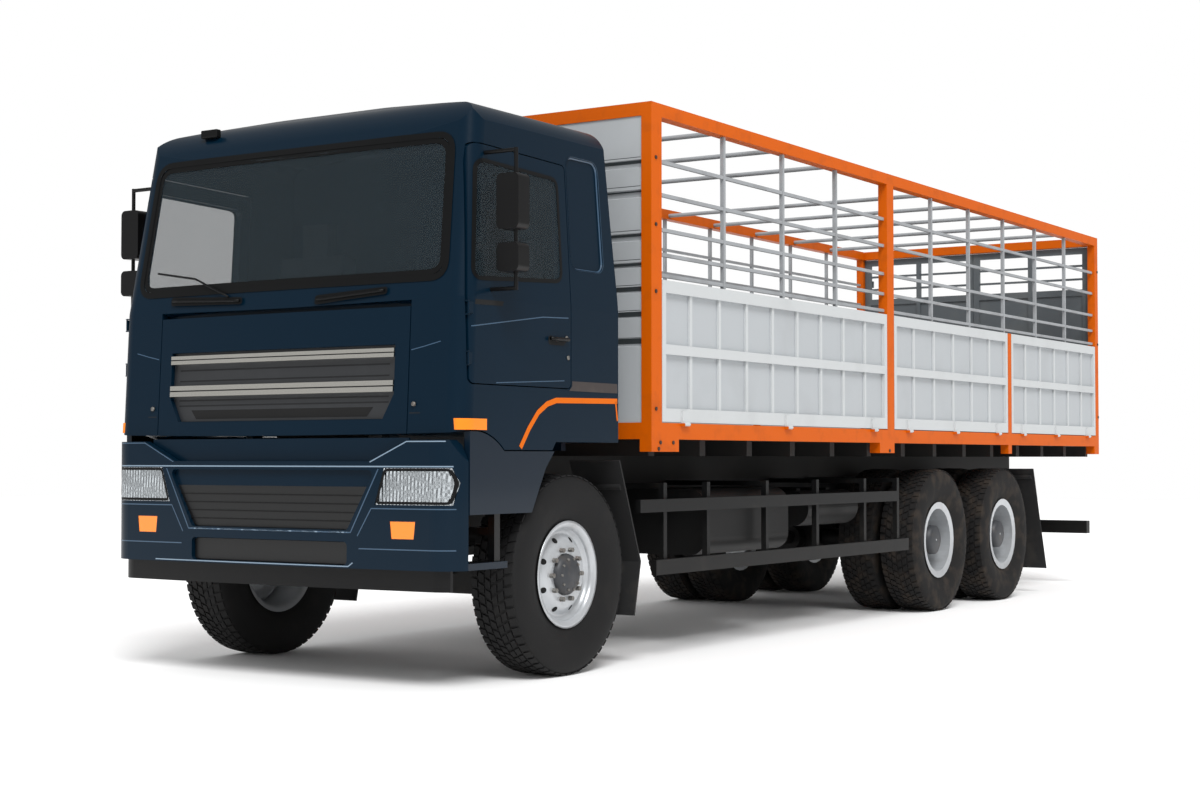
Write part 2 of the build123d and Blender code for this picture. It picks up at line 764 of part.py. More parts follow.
def cab_form(inset):
    """The cab's closed form, drawn in by the inset on every side."""
    with BuildPart() as form:
        sections = (
            # z, half width, nose
            (1150, cab_half, nose_low_y),
            (belt_z, cab_half, nose_belt_y),
            (loft_top_z, roof_half, nose_top_y),
        )
        loft([cab_section(*section, inset) for section in sections], ruled=True)
        with BuildSketch(Plane.YZ) as profile:
            with BuildLine():
                Polyline(*[(y, z) for y, z, rounding in roof_outline], close=True)
            make_face()
            for y, z, rounding in roof_outline:
                if rounding:
                    corner = profile.vertices().sort_by_distance(Vector(y, z))[0]
                    fillet(corner, radius=rounding)
            if inset:
                offset(amount=-inset, kind=Kind.INTERSECTION)
        extrude(amount=cab_width, both=True, mode=Mode.INTERSECT)
        with BuildSketch(Plane.XZ.offset(5400)) as front:
            with BuildLine():
                Polyline(
                    (cab_half + 2, belt_z),
                    (roof_half + 21, 3080),
                    (0, 3192),
                    (-roof_half - 21, 3080),
                    (-cab_half - 2, belt_z),
                    (-cab_half - 2, 1000),
                    (cab_half + 2, 1000),
                    close=True,
                )
            make_face()
            fillet(front.vertices().group_by(Axis.Y)[-1], radius=4000)
            fillet([v for v in front.vertices() if v.Y == 3080], radius=roof_edge_rounding)
            if inset:
                offset(amount=-inset, kind=Kind.INTERSECTION)
        extrude(amount=-2200, mode=Mode.INTERSECT)
    return form.part


def front_region(points, y_span, rounding=0):
    """A prism along Y with an outline seen from the front, its corners rounded."""
    with BuildPart() as region:
        with BuildSketch(Plane.XZ.offset(-y_span[0])) as outline:
            with BuildLine():
                Polyline(*points, close=True)
            make_face()
            if rounding:
                fillet(outline.vertices(), radius=rounding)
        extrude(amount=y_span[0] - y_span[1])
    return region.part


def side_region(points, x_span, rounding=0, grow=0):
    """A prism along X with an outline seen from the left, its corners rounded."""
    with BuildPart() as region:
        with BuildSketch(Plane.YZ.offset(min(x_span))) as outline:
            with BuildLine():
                Polyline(*points, close=True)
            make_face()
            if rounding:
                fillet(outline.vertices(), radius=rounding)
            if grow:
                offset(amount=grow, kind=Kind.INTERSECTION)
        extrude(amount=abs(x_span[1] - x_span[0]))
    return region.part


def block(x_span, y_span, z_span):
    """A plain box region between two corners."""
    with BuildPart() as region:
        bar(x_span, y_span, z_span)
    return region.part


outer_form = cab_form(0)
inner_form = cab_form(cab_wall)
glass_form = cab_form(glass_thickness)
with BuildPart() as cab_skin:
    add(outer_form)
    add(inner_form, mode=Mode.SUBTRACT)
skin = cab_skin.part

# Outlines of the cab's openings
windscreen_outline = ((-1110, 2140), (1110, 2140), (1070, 2905), (-1070, 2905))
windscreen_rounding = 70
pillar_slope = 0.12
door_front_top_y = door_front_y + pillar_slope * (door_top_z - belt_z)


def door_outline(front_gap):
    """The door's outline seen from the left, its front edge brought forward by a gap."""
    return (
        (door_front_y - front_gap, door_bottom_z),
        (door_front_y - front_gap, belt_z),
        (door_front_top_y - front_gap, door_top_z),
        (door_rear_y, door_top_z - 20),
        (door_rear_y, door_bottom_z),
    )


window_outline = ((-4948, 2135), (-4868, 2765), (-4135, 2745), (-4135, 2180))
window_rounding = 45
door_front_gap = 6
door_rounding = 30
door_inner_x = 1140
lid_corner = 60
panel_front_x = lid_half + moving_gap
panel_rear_y = door_front_y - 16
cowl_z = lid_top_z + moving_gap
lid_axis_y = -5028
lid_axis_z = 1990
lid_pin_radius = 6
door_hinge_y = door_front_y - 8
door_hinge_x = 1240
door_hinge_zs = (1720, 1980)
door_barrel_radius = 6
door_pin_radius = 4

far_x = 1400
windscreen_region = front_region(windscreen_outline, (-5300, -4700), windscreen_rounding)
roof_region = block((-far_x, far_x), (-5300, -3300), (roof_line_z, 3400))
lid_region = front_region(
    ((-lid_half, lid_bottom_z), (lid_half, lid_bottom_z), (lid_half, lid_top_z), (-lid_half, lid_top_z)),
    (-5300, -4985),
)
lid_opening = block((-panel_front_x, panel_front_x), (-5300, -4985), (1100, cowl_z))
corner_regions = {
    name: block((side * panel_front_x, side * far_x), (-5300, panel_rear_y), (1100, cowl_z))
    for name, side in sides
}
with BuildPart() as tilt_sweep:
    rod_x((-far_x, far_x), tilt_y, tilt_z, tilt_radius)
tilt_cut = tilt_sweep.part
arch_outline = (
    (-4560, 1100),
    (-4560, 1240),
    (-4460, 1366),
    (-4374, 1455),
    (-4288, 1506),
    (-4197, 1533),
    (-3485, 1549),
    (-3300, 1549),
    (-3300, 1100),
)
arch_regions = {name: side_region(arch_outline, (side * 880, side * far_x)) for name, side in sides}
door_spans = {name: (side * door_inner_x, side * far_x) for name, side in sides}
door_openings = {
    name: side_region(door_outline(door_front_gap), door_spans[name], door_rounding, moving_gap)
    for name, side in sides
}

arm_outline = ((-4970, 915), (-4670, 985), (-4670, 1335), (-4750, 1335), (-4750, 1045), (-4970, 985))
quarter_outline = ((-4030, 2260), (-3700, 2260), (-3715, 2890), (-4030, 2890))
quarter_depth = 12
quarter_form = cab_form(quarter_depth)

# Cab shell: skins, floor with the engine tunnel, bulkhead, rear wall, tilt arms
with BuildPart() as cab_floor:
    add(inner_form)
    bar((-far_x, far_x), (-5300, -3400), (floor_under_z, floor_top_z), Mode.INTERSECT)
with BuildPart() as bulkhead:
    add(inner_form)
    bar((-1100, 1100), (-4980, -4955), (floor_under_z, belt_z + 60), Mode.INTERSECT)
with BuildPart() as cowl_shelf:
    add(inner_form)
    bar((-1090, 1090), (-5060, -4957), (belt_z + 40, belt_z + 60), Mode.INTERSECT)

with BuildPart() as cab_shell:
    add(skin)
    add(cab_floor.part)
    bar((-tunnel_half - tunnel_wall, tunnel_half + tunnel_wall), (-5010, cab_rear_y - 20), (floor_under_z, tunnel_top_z))
    bar((-tunnel_half, tunnel_half), (-4990, -3400), (1100, tunnel_top_z - tunnel_wall), Mode.SUBTRACT)
    add(bulkhead.part)
    add(cowl_shelf.part)
    bar((-far_x, far_x), (-5300, -3400), (1000, cab_bottom_z), Mode.SUBTRACT)
    add(tilt_cut, mode=Mode.SUBTRACT)
    add(lid_opening, mode=Mode.SUBTRACT)
    add(windscreen_region, mode=Mode.SUBTRACT)
    add(roof_region, mode=Mode.SUBTRACT)
    rod_x((-panel_front_x, panel_front_x), lid_axis_y, lid_axis_z, 42, Mode.SUBTRACT)
    with BuildPart(mode=Mode.SUBTRACT):
        add(outer_form)
        add(quarter_form, mode=Mode.SUBTRACT)
        add(side_region(quarter_outline, (-far_x, far_x), 60), mode=Mode.INTERSECT)
    for name, side in sides:
        add(corner_regions[name], mode=Mode.SUBTRACT)
        add(arch_regions[name], mode=Mode.SUBTRACT)
        add(door_openings[name], mode=Mode.SUBTRACT)
        for z in door_hinge_zs:
            rod_z(side * door_hinge_x, door_hinge_y, (z - 32, z + 32), door_barrel_radius + 1.5, Mode.SUBTRACT)
            for low in (z - 38, z + 32):
                bar((side * 1165, side * (door_hinge_x + 4)), (panel_rear_y + 0.5, door_hinge_y + 4), (low, low + 6))
            rod_z(side * door_hinge_x, door_hinge_y, (z - 38, z + 38), door_pin_radius)
        # Tilt arms with their eyes
        arm_x = (side * (rail_outer + 45), side * (rail_outer + 95))
        arm = side_region(arm_outline, arm_x)
        add(arm)
        rod_x(arm_x, tilt_y, tilt_z, 40)
        rod_x((arm_x[0] - side * 5, arm_x[1] + side * 5), tilt_y, tilt_z, tilt_pin_radius + running_gap, Mode.SUBTRACT)
save(cab_shell, "cab_shell")

with BuildPart() as cab_roof:
    add(skin)
    add(roof_region, mode=Mode.INTERSECT)
save(cab_roof, "cab_roof")

with BuildPart() as windscreen:
    add(outer_form)
    add(glass_form, mode=Mode.SUBTRACT)
    add(windscreen_region, mode=Mode.INTERSECT)
save(windscreen, "windscreen")

with BuildPart() as corner_panels:
    add(skin)
    add(corner_regions["left"], mode=Mode.INTERSECT)
    add(tilt_cut, mode=Mode.SUBTRACT)
    rod_x((900, 960), lid_axis_y, lid_axis_z, lid_pin_radius + running_gap, Mode.SUBTRACT)
    mirror(about=Plane.YZ)
save(corner_panels, "corner_panels")

# Fenders over the front wheels: outer skin following the arch, top and rear return
fender_under_z = 1295
fender_inner_x = 905
fender_skin = 25

arch_opening = side_region(
    (
        (-4500, 1100),
        (-4440, 1150),
        (-4300, 1170),
        (-4200, fender_under_z),
        (-3355, fender_under_z),
        (-3355, 1100),
    ),
    (880, far_x),
)
with BuildPart() as fenders:
    add(outer_form)
    add(arch_regions["left"], mode=Mode.INTERSECT)
    bar((0, far_x), (-4800, -3000), (1000, cab_bottom_z), Mode.SUBTRACT)
    inner_skin = (fender_inner_x + fender_skin, cab_half - fender_skin)
    add(arch_opening, mode=Mode.SUBTRACT)
    bar(inner_skin, (-4600, -3300), (cab_bottom_z - 10, fender_under_z), Mode.SUBTRACT)
    bar(inner_skin, (-4440, -3500), (fender_under_z + fender_skin, 1500), Mode.SUBTRACT)
    bar((0, fender_inner_x), (-4800, -3000), (1000, 2000), Mode.SUBTRACT)
    mirror(about=Plane.YZ)
save(fenders, "fenders")

# Front lid with the recess for its grille
grille_top_z = 1800
grille_low_z = 1410
grille_half = 810
grille_depth = 24
bar_rise = 8
wiper_rise = 20
bar_levels = (
    # low, high
    (1735, 1756),
    (1762, 1782),
    (1553, 1580),
    (1587, 1613),
)
wiper_parts = (
    # x from, x to, z from, z to
    (-640, -250, 2050, 2075),
    (330, 760, 2050, 2075),
)

grille_region = front_region(
    (
        (-grille_half + 70, grille_low_z),
        (grille_half - 70, grille_low_z),
        (grille_half, grille_low_z + 130),
        (grille_half, grille_top_z),
        (-grille_half, grille_top_z),
        (-grille_half, grille_low_z + 130),
    ),
    (-5300, -4985),
)
sunk_form = cab_form(grille_depth)
proud_form = cab_form(-bar_rise)

with BuildPart() as front_lid:
    add(skin)
    add(lid_region, mode=Mode.INTERSECT)
    add(tilt_cut, mode=Mode.SUBTRACT)
    with BuildPart(mode=Mode.SUBTRACT):
        add(outer_form)
        add(sunk_form, mode=Mode.SUBTRACT)
        add(grille_region, mode=Mode.INTERSECT)
    for side in (1, -1):
        rod_x((side * (lid_half - 10), side * (lid_half + 36)), lid_axis_y, lid_axis_z, lid_pin_radius)
save(front_lid, "front_lid")

with BuildPart() as grille_bars:
    add(proud_form)
    add(sunk_form, mode=Mode.SUBTRACT)
    with BuildPart(mode=Mode.INTERSECT):
        for low, high in bar_levels:
            bar((-grille_half + 2, grille_half - 2), (-5300, -4985), (low, high))
save(grille_bars, "grille_bars")

# Doors with their windows, glass and mirrors
mirror_arm_x = 1400
mirror_y = -4800
mirror_heads = ((2390, 2680), (2170, 2320))
mirror_arm_zs = (2085, 2805)

for name, side in sides:
    door_region = side_region(door_outline(0), door_spans[name], door_rounding)
    window_region = side_region(window_outline, door_spans[name], window_rounding)
    pane_region = side_region(window_outline, door_spans[name], window_rounding, -seat_gap)
    with BuildPart() as door:
        add(skin)
        add(door_region, mode=Mode.INTERSECT)
        add(window_region, mode=Mode.SUBTRACT)
        for z in door_hinge_zs:
            rod_z(side * door_hinge_x, door_hinge_y, (z - 30, z + 30), door_barrel_radius)
            bar((side * (door_hinge_x - 7), side * (door_hinge_x + 3)), (door_hinge_y, door_front_y + 30), (z - 30, z + 30))
            bore = (z - 40, z + 40)
            rod_z(side * door_hinge_x, door_hinge_y, bore, door_pin_radius + running_gap, Mode.SUBTRACT)
    save(door, f"door_{name}")

    with BuildPart() as door_glass:
        add(outer_form)
        add(glass_form, mode=Mode.SUBTRACT)
        add(pane_region, mode=Mode.INTERSECT)
    save(door_glass, f"door_glass_{name}")

    with BuildPart() as door_mirror:
        for z in mirror_arm_zs:
            rod_x((side * 1150, side * mirror_arm_x), mirror_y, z, 11)
        rod_z(side * mirror_arm_x, mirror_y, (mirror_arm_zs[0] - 11, mirror_arm_zs[1] + 11), 11)
        for low, high in mirror_heads:
            with BuildPart():
                bar((side * 1310, side * 1450), (mirror_y - 50, mirror_y + 50), (low, high))
                fillet(edges().filter_by(Axis.Y), radius=30)
        add(outer_form, mode=Mode.SUBTRACT)
    save(door_mirror, f"mirror_{name}")

# Wipers lying on the cowl, and the side turn lamps
with BuildPart() as wiper_band:
    for x_from, x_to, z_from, z_to in wiper_parts:
        with Locations(Location(((x_from + x_to) / 2, -5100, (z_from + z_to) / 2), (0, 0, 0))):
            reach = sqrt((x_to - x_from) ** 2 + (z_to - z_from) ** 2)
            slope = -degrees(atan2(z_to - z_from, x_to - x_from))
            Box(reach, 300, 26, rotation=(0, slope, 0))
with BuildPart() as wipers:
    add(cab_form(-wiper_rise))
    add(outer_form, mode=Mode.SUBTRACT)
    add(wiper_band.part, mode=Mode.INTERSECT)
save(wipers, "wipers")

with BuildPart() as side_turn_lamps:
    add(proud_form)
    add(outer_form, mode=Mode.SUBTRACT)
    with BuildPart(mode=Mode.INTERSECT):
        for side in (1, -1):
            bar((side * 1150, side * far_x), (-5050, -4850), (1352, 1410))
save(side_turn_lamps, "side_turn_lamps")

# Seats on boxes each side of the tunnel
with BuildPart() as seats:
    bar((460, 890), (-4460, -4020), (floor_top_z, 1641))
    with BuildSketch(Plane.YZ.offset(450)):
        with BuildLine():
            Polyline(
                (-4500, 1640),
                (-4500, 1770),
                (-4120, 1740),
                (-3990, 2440),
                (-3880, 2420),
                (-3960, 1640),
                close=True,
            )
        make_face()
    extrude(amount=500)
    bar((600, 800), (-3965, -3885), (2415, 2640))
    mirror(about=Plane.YZ)
save(seats, "seats")

# Dashboard on the bulkhead, with the steering wheel on its column
wheel_x = 700
wheel_centre = (wheel_x, -4600, 1950)
wheel_tilt = 28

with BuildPart() as dashboard:
    with BuildSketch(Plane.YZ.offset(-1090)):
        with BuildLine():
            Polyline(
                (-4955, 1760),
                (-4955, 2075),
                (-4900, 2100),
                (-4760, 2040),
                (-4700, 1960),
                (-4730, 1780),
                (-4860, 1760),
                close=True,
            )
        make_face()
    extrude(amount=2180)
    with Locations(Location(wheel_centre, (-wheel_tilt, 0, 0))):
        Cylinder(229, 26)
        Cylinder(203, 26, mode=Mode.SUBTRACT)
        Cylinder(55, 34)
        Box(420, 30, 18)
        with Locations((0, 0, -95)):
            Cylinder(28, 180)
save(dashboard, "dashboard")


# Bumper: a bowed shell with brows over the lamps
bumper_front_y = front_y
bumper_bow = 40
bumper_corner = 170
bumper_rear_y = -4990
bumper_wall = 40
bumper_low_z = 630


def bumper_form(inset, low, high):
    """The bumper's closed plan form between two heights."""
    with BuildPart() as form:
        half, nose = cab_half - inset, bumper_front_y + inset
        with BuildSketch(Plane.XY.offset(low)) as section:
            with BuildLine():
                side_y = nose + bumper_bow
                Polyline((half, side_y), (half, -4800), (-half, -4800), (-half, side_y))
                ThreePointArc((-half, side_y), (0, nose), (half, side_y))
            make_face()
            fillet(section.vertices().group_by(Axis.Y)[0], radius=bumper_corner - inset)
        extrude(amount=high - low)
    return form.part


bumper_outline = (
    (-cab_half, bumper_low_z),
    (cab_half, bumper_low_z),
    (cab_half, 1180),
    (1185, 1300),
    (945, 1300),
    (700, 1190),
    (-700, 1190),
    (-945, 1300),
    (-1185, 1300),
    (-cab_half, 1180),
)
head_lamp_outline = ((740, 965), (800, 1155), (1195, 1155), (1222, 1080), (1200, 965))
turn_lamp_outline = ((850, 790), (840, 880), (1000, 880), (990, 790))
upper_opening = ((-560, 830), (560, 830), (740, 1145), (-740, 1145))
lower_opening = ((-560, 646), (560, 646), (560, 769), (-560, 769))
bumper_span = (-5300, -4995)


def turned(points):
    """The same outline on the right side of the lorry."""
    return tuple((-x, z) for x, z in points)


lamp_regions = {
    "head": [front_region(points, bumper_span) for points in (head_lamp_outline, turned(head_lamp_outline))],
    "turn": [front_region(points, bumper_span) for points in (turn_lamp_outline, turned(turn_lamp_outline))],
}
bumper_openings = [front_region(points, bumper_span, 25) for points in (upper_opening, lower_opening)]
bumper_outside = bumper_form(0, 500, 1310)
bumper_inside = bumper_form(bumper_wall, 490, 1320)

with BuildPart() as bumper:
    add(bumper_outside)
    add(bumper_inside, mode=Mode.SUBTRACT)
    add(front_region(bumper_outline, (-5300, bumper_rear_y)), mode=Mode.INTERSECT)
    for region in bumper_openings + lamp_regions["head"] + lamp_regions["turn"]:
        add(region, mode=Mode.SUBTRACT)
    with BuildPart():
        add(bumper_form(24, 1057, 1150))
        add(bumper_inside, mode=Mode.SUBTRACT)
        bar((-760, 760), (-5300, -5050), (1000, 1200), Mode.INTERSECT)
    # Ledge along the top with the recessed panel below the lid, and the two brackets' landing faces
    bar((-925, 925), (-5115, -5070), (1178, 1190))
    bar((-925, 925), (-5082, -5070), (1188, 1312))
    for side in (1, -1):
        bar((side * 360, side * 424), (-5115, front_y + 62), (820, 1000))
save(bumper, "bumper")

for name, regions, depth in (("headlamps", lamp_regions["head"], 60), ("front_turn_lamps", lamp_regions["turn"], 50)):
    with BuildPart() as lamps:
        add(bumper_form(2, 700, 1200))
        add(bumper_form(depth, 690, 1210), mode=Mode.SUBTRACT)
        with BuildPart(mode=Mode.INTERSECT):
            for region in regions:
                add(region)
    save(lamps, name)

# Lower grille: a shell behind the bumper's openings, with the valance below
with BuildPart() as lower_grille:
    add(bumper_form(bumper_wall, 520, 1150))
    add(bumper_form(bumper_wall + 14, 510, 1160), mode=Mode.SUBTRACT)
    with BuildPart(mode=Mode.INTERSECT):
        bar((-735, 735), (-5300, -5050), (520, 1150))
        bar((-1165, 1165), (-5300, -4950), (520, 640))
    for side in (1, -1):
        bar((side * 355, side * 429), (-5300, -5050), (815, 1005), Mode.SUBTRACT)
    for z in range(850, 1050, 40):
        bar((-345, 345), (-5300, -5050), (z, z + 16), Mode.SUBTRACT)
save(lower_grille, "lower_grille")

# Step skirts below the doors, with the step plates and their brackets
skirt_rear_y = -4215
skirt_top_z = cab_bottom_z - 7
fixed_radius = tilt_radius - 8
skirt_low_z = 915
arc_front_y = bumper_rear_y + 5
arc_front_z = tilt_z + sqrt(fixed_radius**2 - (arc_front_y - tilt_y) ** 2)
arc_rear_y = tilt_y + sqrt(fixed_radius**2 - (skirt_top_z - tilt_z) ** 2)
arc_middle = (tilt_y + fixed_radius * cos(radians(71)), tilt_z + fixed_radius * sin(radians(71)))

with BuildPart() as cab_steps:
    with BuildSketch(Plane.YZ.offset(cab_half - 40)):
        with BuildLine():
            Polyline((arc_rear_y, skirt_top_z), (skirt_rear_y, skirt_top_z), (-4300, 1150), (-4430, skirt_low_z))
            Polyline((-4430, skirt_low_z), (arc_front_y, skirt_low_z), (arc_front_y, arc_front_z))
            ThreePointArc((arc_front_y, arc_front_z), arc_middle, (arc_rear_y, skirt_top_z))
        make_face()
    extrude(amount=40)
    bar((rail_outer, 1207), (-4720, -4670), (800, 840))
    bar((1165, 1207), (-4720, -4670), (640, 1000))
    bar((1080, 1235), (-4984, -4640), (630, 665))
    mirror(about=Plane.YZ)
save(cab_steps, "cab_steps")
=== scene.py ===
import json

import bmesh
import bpy
from math import cos, pi, radians, sin
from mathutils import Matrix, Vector
from mathutils.bvhtree import BVHTree

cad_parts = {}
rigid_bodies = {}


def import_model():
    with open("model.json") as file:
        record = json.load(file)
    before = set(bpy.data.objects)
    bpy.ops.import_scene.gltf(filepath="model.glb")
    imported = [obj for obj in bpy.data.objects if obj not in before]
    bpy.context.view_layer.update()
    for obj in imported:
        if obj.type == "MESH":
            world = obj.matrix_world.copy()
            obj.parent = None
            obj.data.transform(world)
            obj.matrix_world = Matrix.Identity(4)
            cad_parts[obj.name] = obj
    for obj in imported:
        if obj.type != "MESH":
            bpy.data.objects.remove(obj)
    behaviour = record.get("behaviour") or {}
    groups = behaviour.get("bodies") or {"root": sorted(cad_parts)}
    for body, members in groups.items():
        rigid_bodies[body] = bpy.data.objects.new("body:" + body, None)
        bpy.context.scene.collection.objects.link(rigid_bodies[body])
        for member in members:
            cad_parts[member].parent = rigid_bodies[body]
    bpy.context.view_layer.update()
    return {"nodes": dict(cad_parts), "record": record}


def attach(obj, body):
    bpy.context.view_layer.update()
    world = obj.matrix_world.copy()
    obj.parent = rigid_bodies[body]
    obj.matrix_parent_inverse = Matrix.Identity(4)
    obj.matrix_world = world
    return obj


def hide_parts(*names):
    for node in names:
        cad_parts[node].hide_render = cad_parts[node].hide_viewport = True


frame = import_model()
nodes = frame["nodes"]


def srgb(*values):
    """Linear colour from 0 to 255 screen values."""
    linear = []
    for value in values:
        value /= 255
        linear.append(value / 12.92 if value <= 0.04045 else ((value + 0.055) / 1.055) ** 2.4)
    return (*linear, 1.0)


def new_material(name):
    """An empty node material with its shader."""
    material = bpy.data.materials.new(name)
    material.use_nodes = True
    tree = material.node_tree
    return material, tree.nodes, tree.links, tree.nodes["Principled BSDF"]


coat_roughness = 0.08
relief_depth = 0.002
noise_detail = 4.0
facet_depth = 0.01


def grey(value):
    """A neutral linear colour."""
    return (value, value, value, 1)


def finish_of(shader, roughness, metallic=0.0, coat=0.0, specular=0.5):
    """Sets what is uniform over a surface."""
    shader.inputs["Roughness"].default_value = roughness
    shader.inputs["Metallic"].default_value = metallic
    shader.inputs["Coat Weight"].default_value = coat
    shader.inputs["Coat Roughness"].default_value = coat_roughness
    shader.inputs["Specular IOR Level"].default_value = specular


def noise(tree_nodes, links, scale):
    """A noise value in object space."""
    coords = tree_nodes.new("ShaderNodeTexCoord")
    texture = tree_nodes.new("ShaderNodeTexNoise")
    texture.inputs["Scale"].default_value = scale
    texture.inputs["Detail"].default_value = noise_detail
    links.new(coords.outputs["Object"], texture.inputs["Vector"])
    return texture.outputs["Fac"]


def ramp(tree_nodes, links, value, stops):
    """A colour ramp over a value; stops are (place, colour)."""
    node = tree_nodes.new("ShaderNodeValToRGB")
    elements = node.color_ramp.elements
    while len(elements) > 1:
        elements.remove(elements[-1])
    elements[0].position, elements[0].color = stops[0]
    for place, colour in stops[1:]:
        element = elements.new(place)
        element.color = colour
    links.new(value, node.inputs["Fac"])
    return node.outputs["Color"]


def worn(
    name, base, dirt, amount=0.5, roughness=0.4, metallic=0.0, coat=0.0,
    scale=3.0, low=None, bump=0.0, specular=0.5,
):
    """A surface with patchy dirt; low, as (height, height, share), adds more of it towards the ground."""
    material, tree, links, shader = new_material(name)
    finish_of(shader, roughness, metallic, coat, specular)
    patches = noise(tree, links, scale)
    clean_below, dirty_above = 0.62 - 0.3 * amount, 0.95 - 0.25 * amount
    mask = ramp(tree, links, patches, ((clean_below, grey(0)), (dirty_above, grey(amount))))
    if low:
        geometry = tree.new("ShaderNodeNewGeometry")
        split = tree.new("ShaderNodeSeparateXYZ")
        links.new(geometry.outputs["Position"], split.inputs["Vector"])
        height = tree.new("ShaderNodeMapRange")
        height.inputs["From Min"].default_value = low[0]
        height.inputs["From Max"].default_value = low[1]
        height.inputs["To Min"].default_value = low[2]
        height.inputs["To Max"].default_value = 0
        links.new(split.outputs["Z"], height.inputs["Value"])
        both = tree.new("ShaderNodeMath")
        both.operation = "MULTIPLY_ADD"
        both.use_clamp = True
        links.new(height.outputs["Result"], both.inputs[0])
        links.new(patches, both.inputs[1])
        links.new(mask, both.inputs[2])
        mask = both.outputs["Value"]
    mix = tree.new("ShaderNodeMix")
    mix.data_type = "RGBA"
    mix.inputs["A"].default_value = base
    mix.inputs["B"].default_value = dirt
    links.new(mask, mix.inputs["Factor"])
    links.new(mix.outputs["Result"], shader.inputs["Base Color"])
    if bump:
        relief = tree.new("ShaderNodeBump")
        relief.inputs["Strength"].default_value = bump
        relief.inputs["Distance"].default_value = relief_depth
        links.new(noise(tree, links, scale * 30), relief.inputs["Height"])
        links.new(relief.outputs["Normal"], shader.inputs["Normal"])
    return material


def ribs_lit_sheets_shaded(name, shaded_sheet, lit_rib, edge, dirt):
    """Sheets with ribs painted brighter, a painted highlight on the ribs and painted shade on the sheets
    recessed between them: whatever stands further out than the edge is rib.
    """
    material = worn(name, shaded_sheet, dirt, 0.3, 0.45, scale=2, specular=0.3)
    tree, links = material.node_tree.nodes, material.node_tree.links
    mix = next(node for node in tree if node.bl_idname == "ShaderNodeMix")
    coords = tree.new("ShaderNodeTexCoord")
    split = tree.new("ShaderNodeSeparateXYZ")
    links.new(coords.outputs["Object"], split.inputs["Vector"])
    reach = tree.new("ShaderNodeMath")
    reach.operation = "ABSOLUTE"
    links.new(split.outputs["X"], reach.inputs[0])
    links.new(ramp_between(tree, links, reach.outputs["Value"], edge, shaded_sheet, lit_rib), mix.inputs["A"])
    return material


def ramp_between(tree, links, value, edge, low_colour, high_colour):
    """One colour below an edge of a value and another above it."""
    step = tree.new("ShaderNodeMath")
    step.operation = "GREATER_THAN"
    step.inputs[1].default_value = edge
    links.new(value, step.inputs[0])
    mix = tree.new("ShaderNodeMix")
    mix.data_type = "RGBA"
    mix.inputs["A"].default_value = low_colour
    mix.inputs["B"].default_value = high_colour
    links.new(step.outputs["Value"], mix.inputs["Factor"])
    return mix.outputs["Result"]


def faceted(name, colour, roughness, scale):
    """A bright reflector pressed in upright facets."""
    material, tree, links, shader = new_material(name)
    finish_of(shader, roughness, 1.0)
    shader.inputs["Base Color"].default_value = colour
    coords = tree.new("ShaderNodeTexCoord")
    wave = tree.new("ShaderNodeTexWave")
    wave.bands_direction = "X"
    wave.inputs["Scale"].default_value = scale
    wave.inputs["Distortion"].default_value = 1.5
    links.new(coords.outputs["Object"], wave.inputs["Vector"])
    relief = tree.new("ShaderNodeBump")
    relief.inputs["Strength"].default_value = 0.8
    relief.inputs["Distance"].default_value = facet_depth
    links.new(wave.outputs["Fac"], relief.inputs["Height"])
    links.new(relief.outputs["Normal"], shader.inputs["Normal"])
    return material


def plain(name, colour, roughness=0.5, metallic=0.0, coat=0.0, alpha=1.0, glow=0.0):
    """A clean surface of one colour."""
    material, tree, links, shader = new_material(name)
    finish_of(shader, roughness, metallic, coat)
    shader.inputs["Base Color"].default_value = colour
    shader.inputs["Alpha"].default_value = alpha
    if glow:
        shader.inputs["Emission Color"].default_value = colour
        shader.inputs["Emission Strength"].default_value = glow
    return material


def two_zones(name, axis, edge, low_paint, high_paint):
    """One paint below an edge of an axis and another above it."""
    material, tree, links, shader = new_material(name)
    finish_of(shader, 0.35, coat=0.2, specular=0.2)
    coords = tree.new("ShaderNodeTexCoord")
    split = tree.new("ShaderNodeSeparateXYZ")
    reach = tree.new("ShaderNodeMath")
    reach.operation = "ABSOLUTE"
    links.new(coords.outputs["Object"], split.inputs["Vector"])
    links.new(split.outputs[axis], reach.inputs[0])
    colour = ramp_between(tree, links, reach.outputs["Value"], edge, low_paint, high_paint)
    links.new(colour, shader.inputs["Base Color"])
    return material


dust = srgb(92, 84, 74)
mud = srgb(82, 70, 58)
rust = srgb(96, 48, 26)
navy = worn("navy_paint", srgb(3, 25, 40), srgb(8, 35, 53), 0.2, 0.3, coat=0.12, scale=1.2, specular=0.1)
orange = worn("orange_paint", srgb(200, 88, 0), rust, 0.3, 0.45, scale=9, specular=0.12)
rib_edge = 1.227
# the ribs' lighter colour is a painted highlight and the sheets' darker colour is painted shade; the dirt
# mixed in is real
panel = ribs_lit_sheets_shaded("panel_paint", srgb(172, 176, 179), srgb(190, 193, 194), rib_edge, srgb(140, 141, 142))
cage = worn("cage_paint", srgb(150, 153, 156), srgb(92, 90, 88), 0.45, 0.45, scale=6)
door_grey = worn("door_paint", srgb(84, 90, 94), srgb(120, 120, 116), 0.4, 0.5, scale=3)
near_ground = (0.2, 1.0, 0.1)
black = worn("chassis_paint", srgb(9, 10, 11), dust, 0.12, 0.5, scale=5, low=near_ground, specular=0.25)
cast = worn("engine_iron", srgb(50, 52, 54), srgb(44, 38, 32), 0.5, 0.7, scale=6)
deck = worn("deck_boards", srgb(20, 19, 18), srgb(34, 31, 28), 0.5, 0.8, scale=4)
on_ground = (0.0, 0.9, 0.15)
rubber = worn(
    "tyre_rubber", srgb(17, 17, 18), srgb(46, 42, 38), 0.3, 0.75,
    scale=7, low=on_ground, bump=0.3, specular=0.3,
)
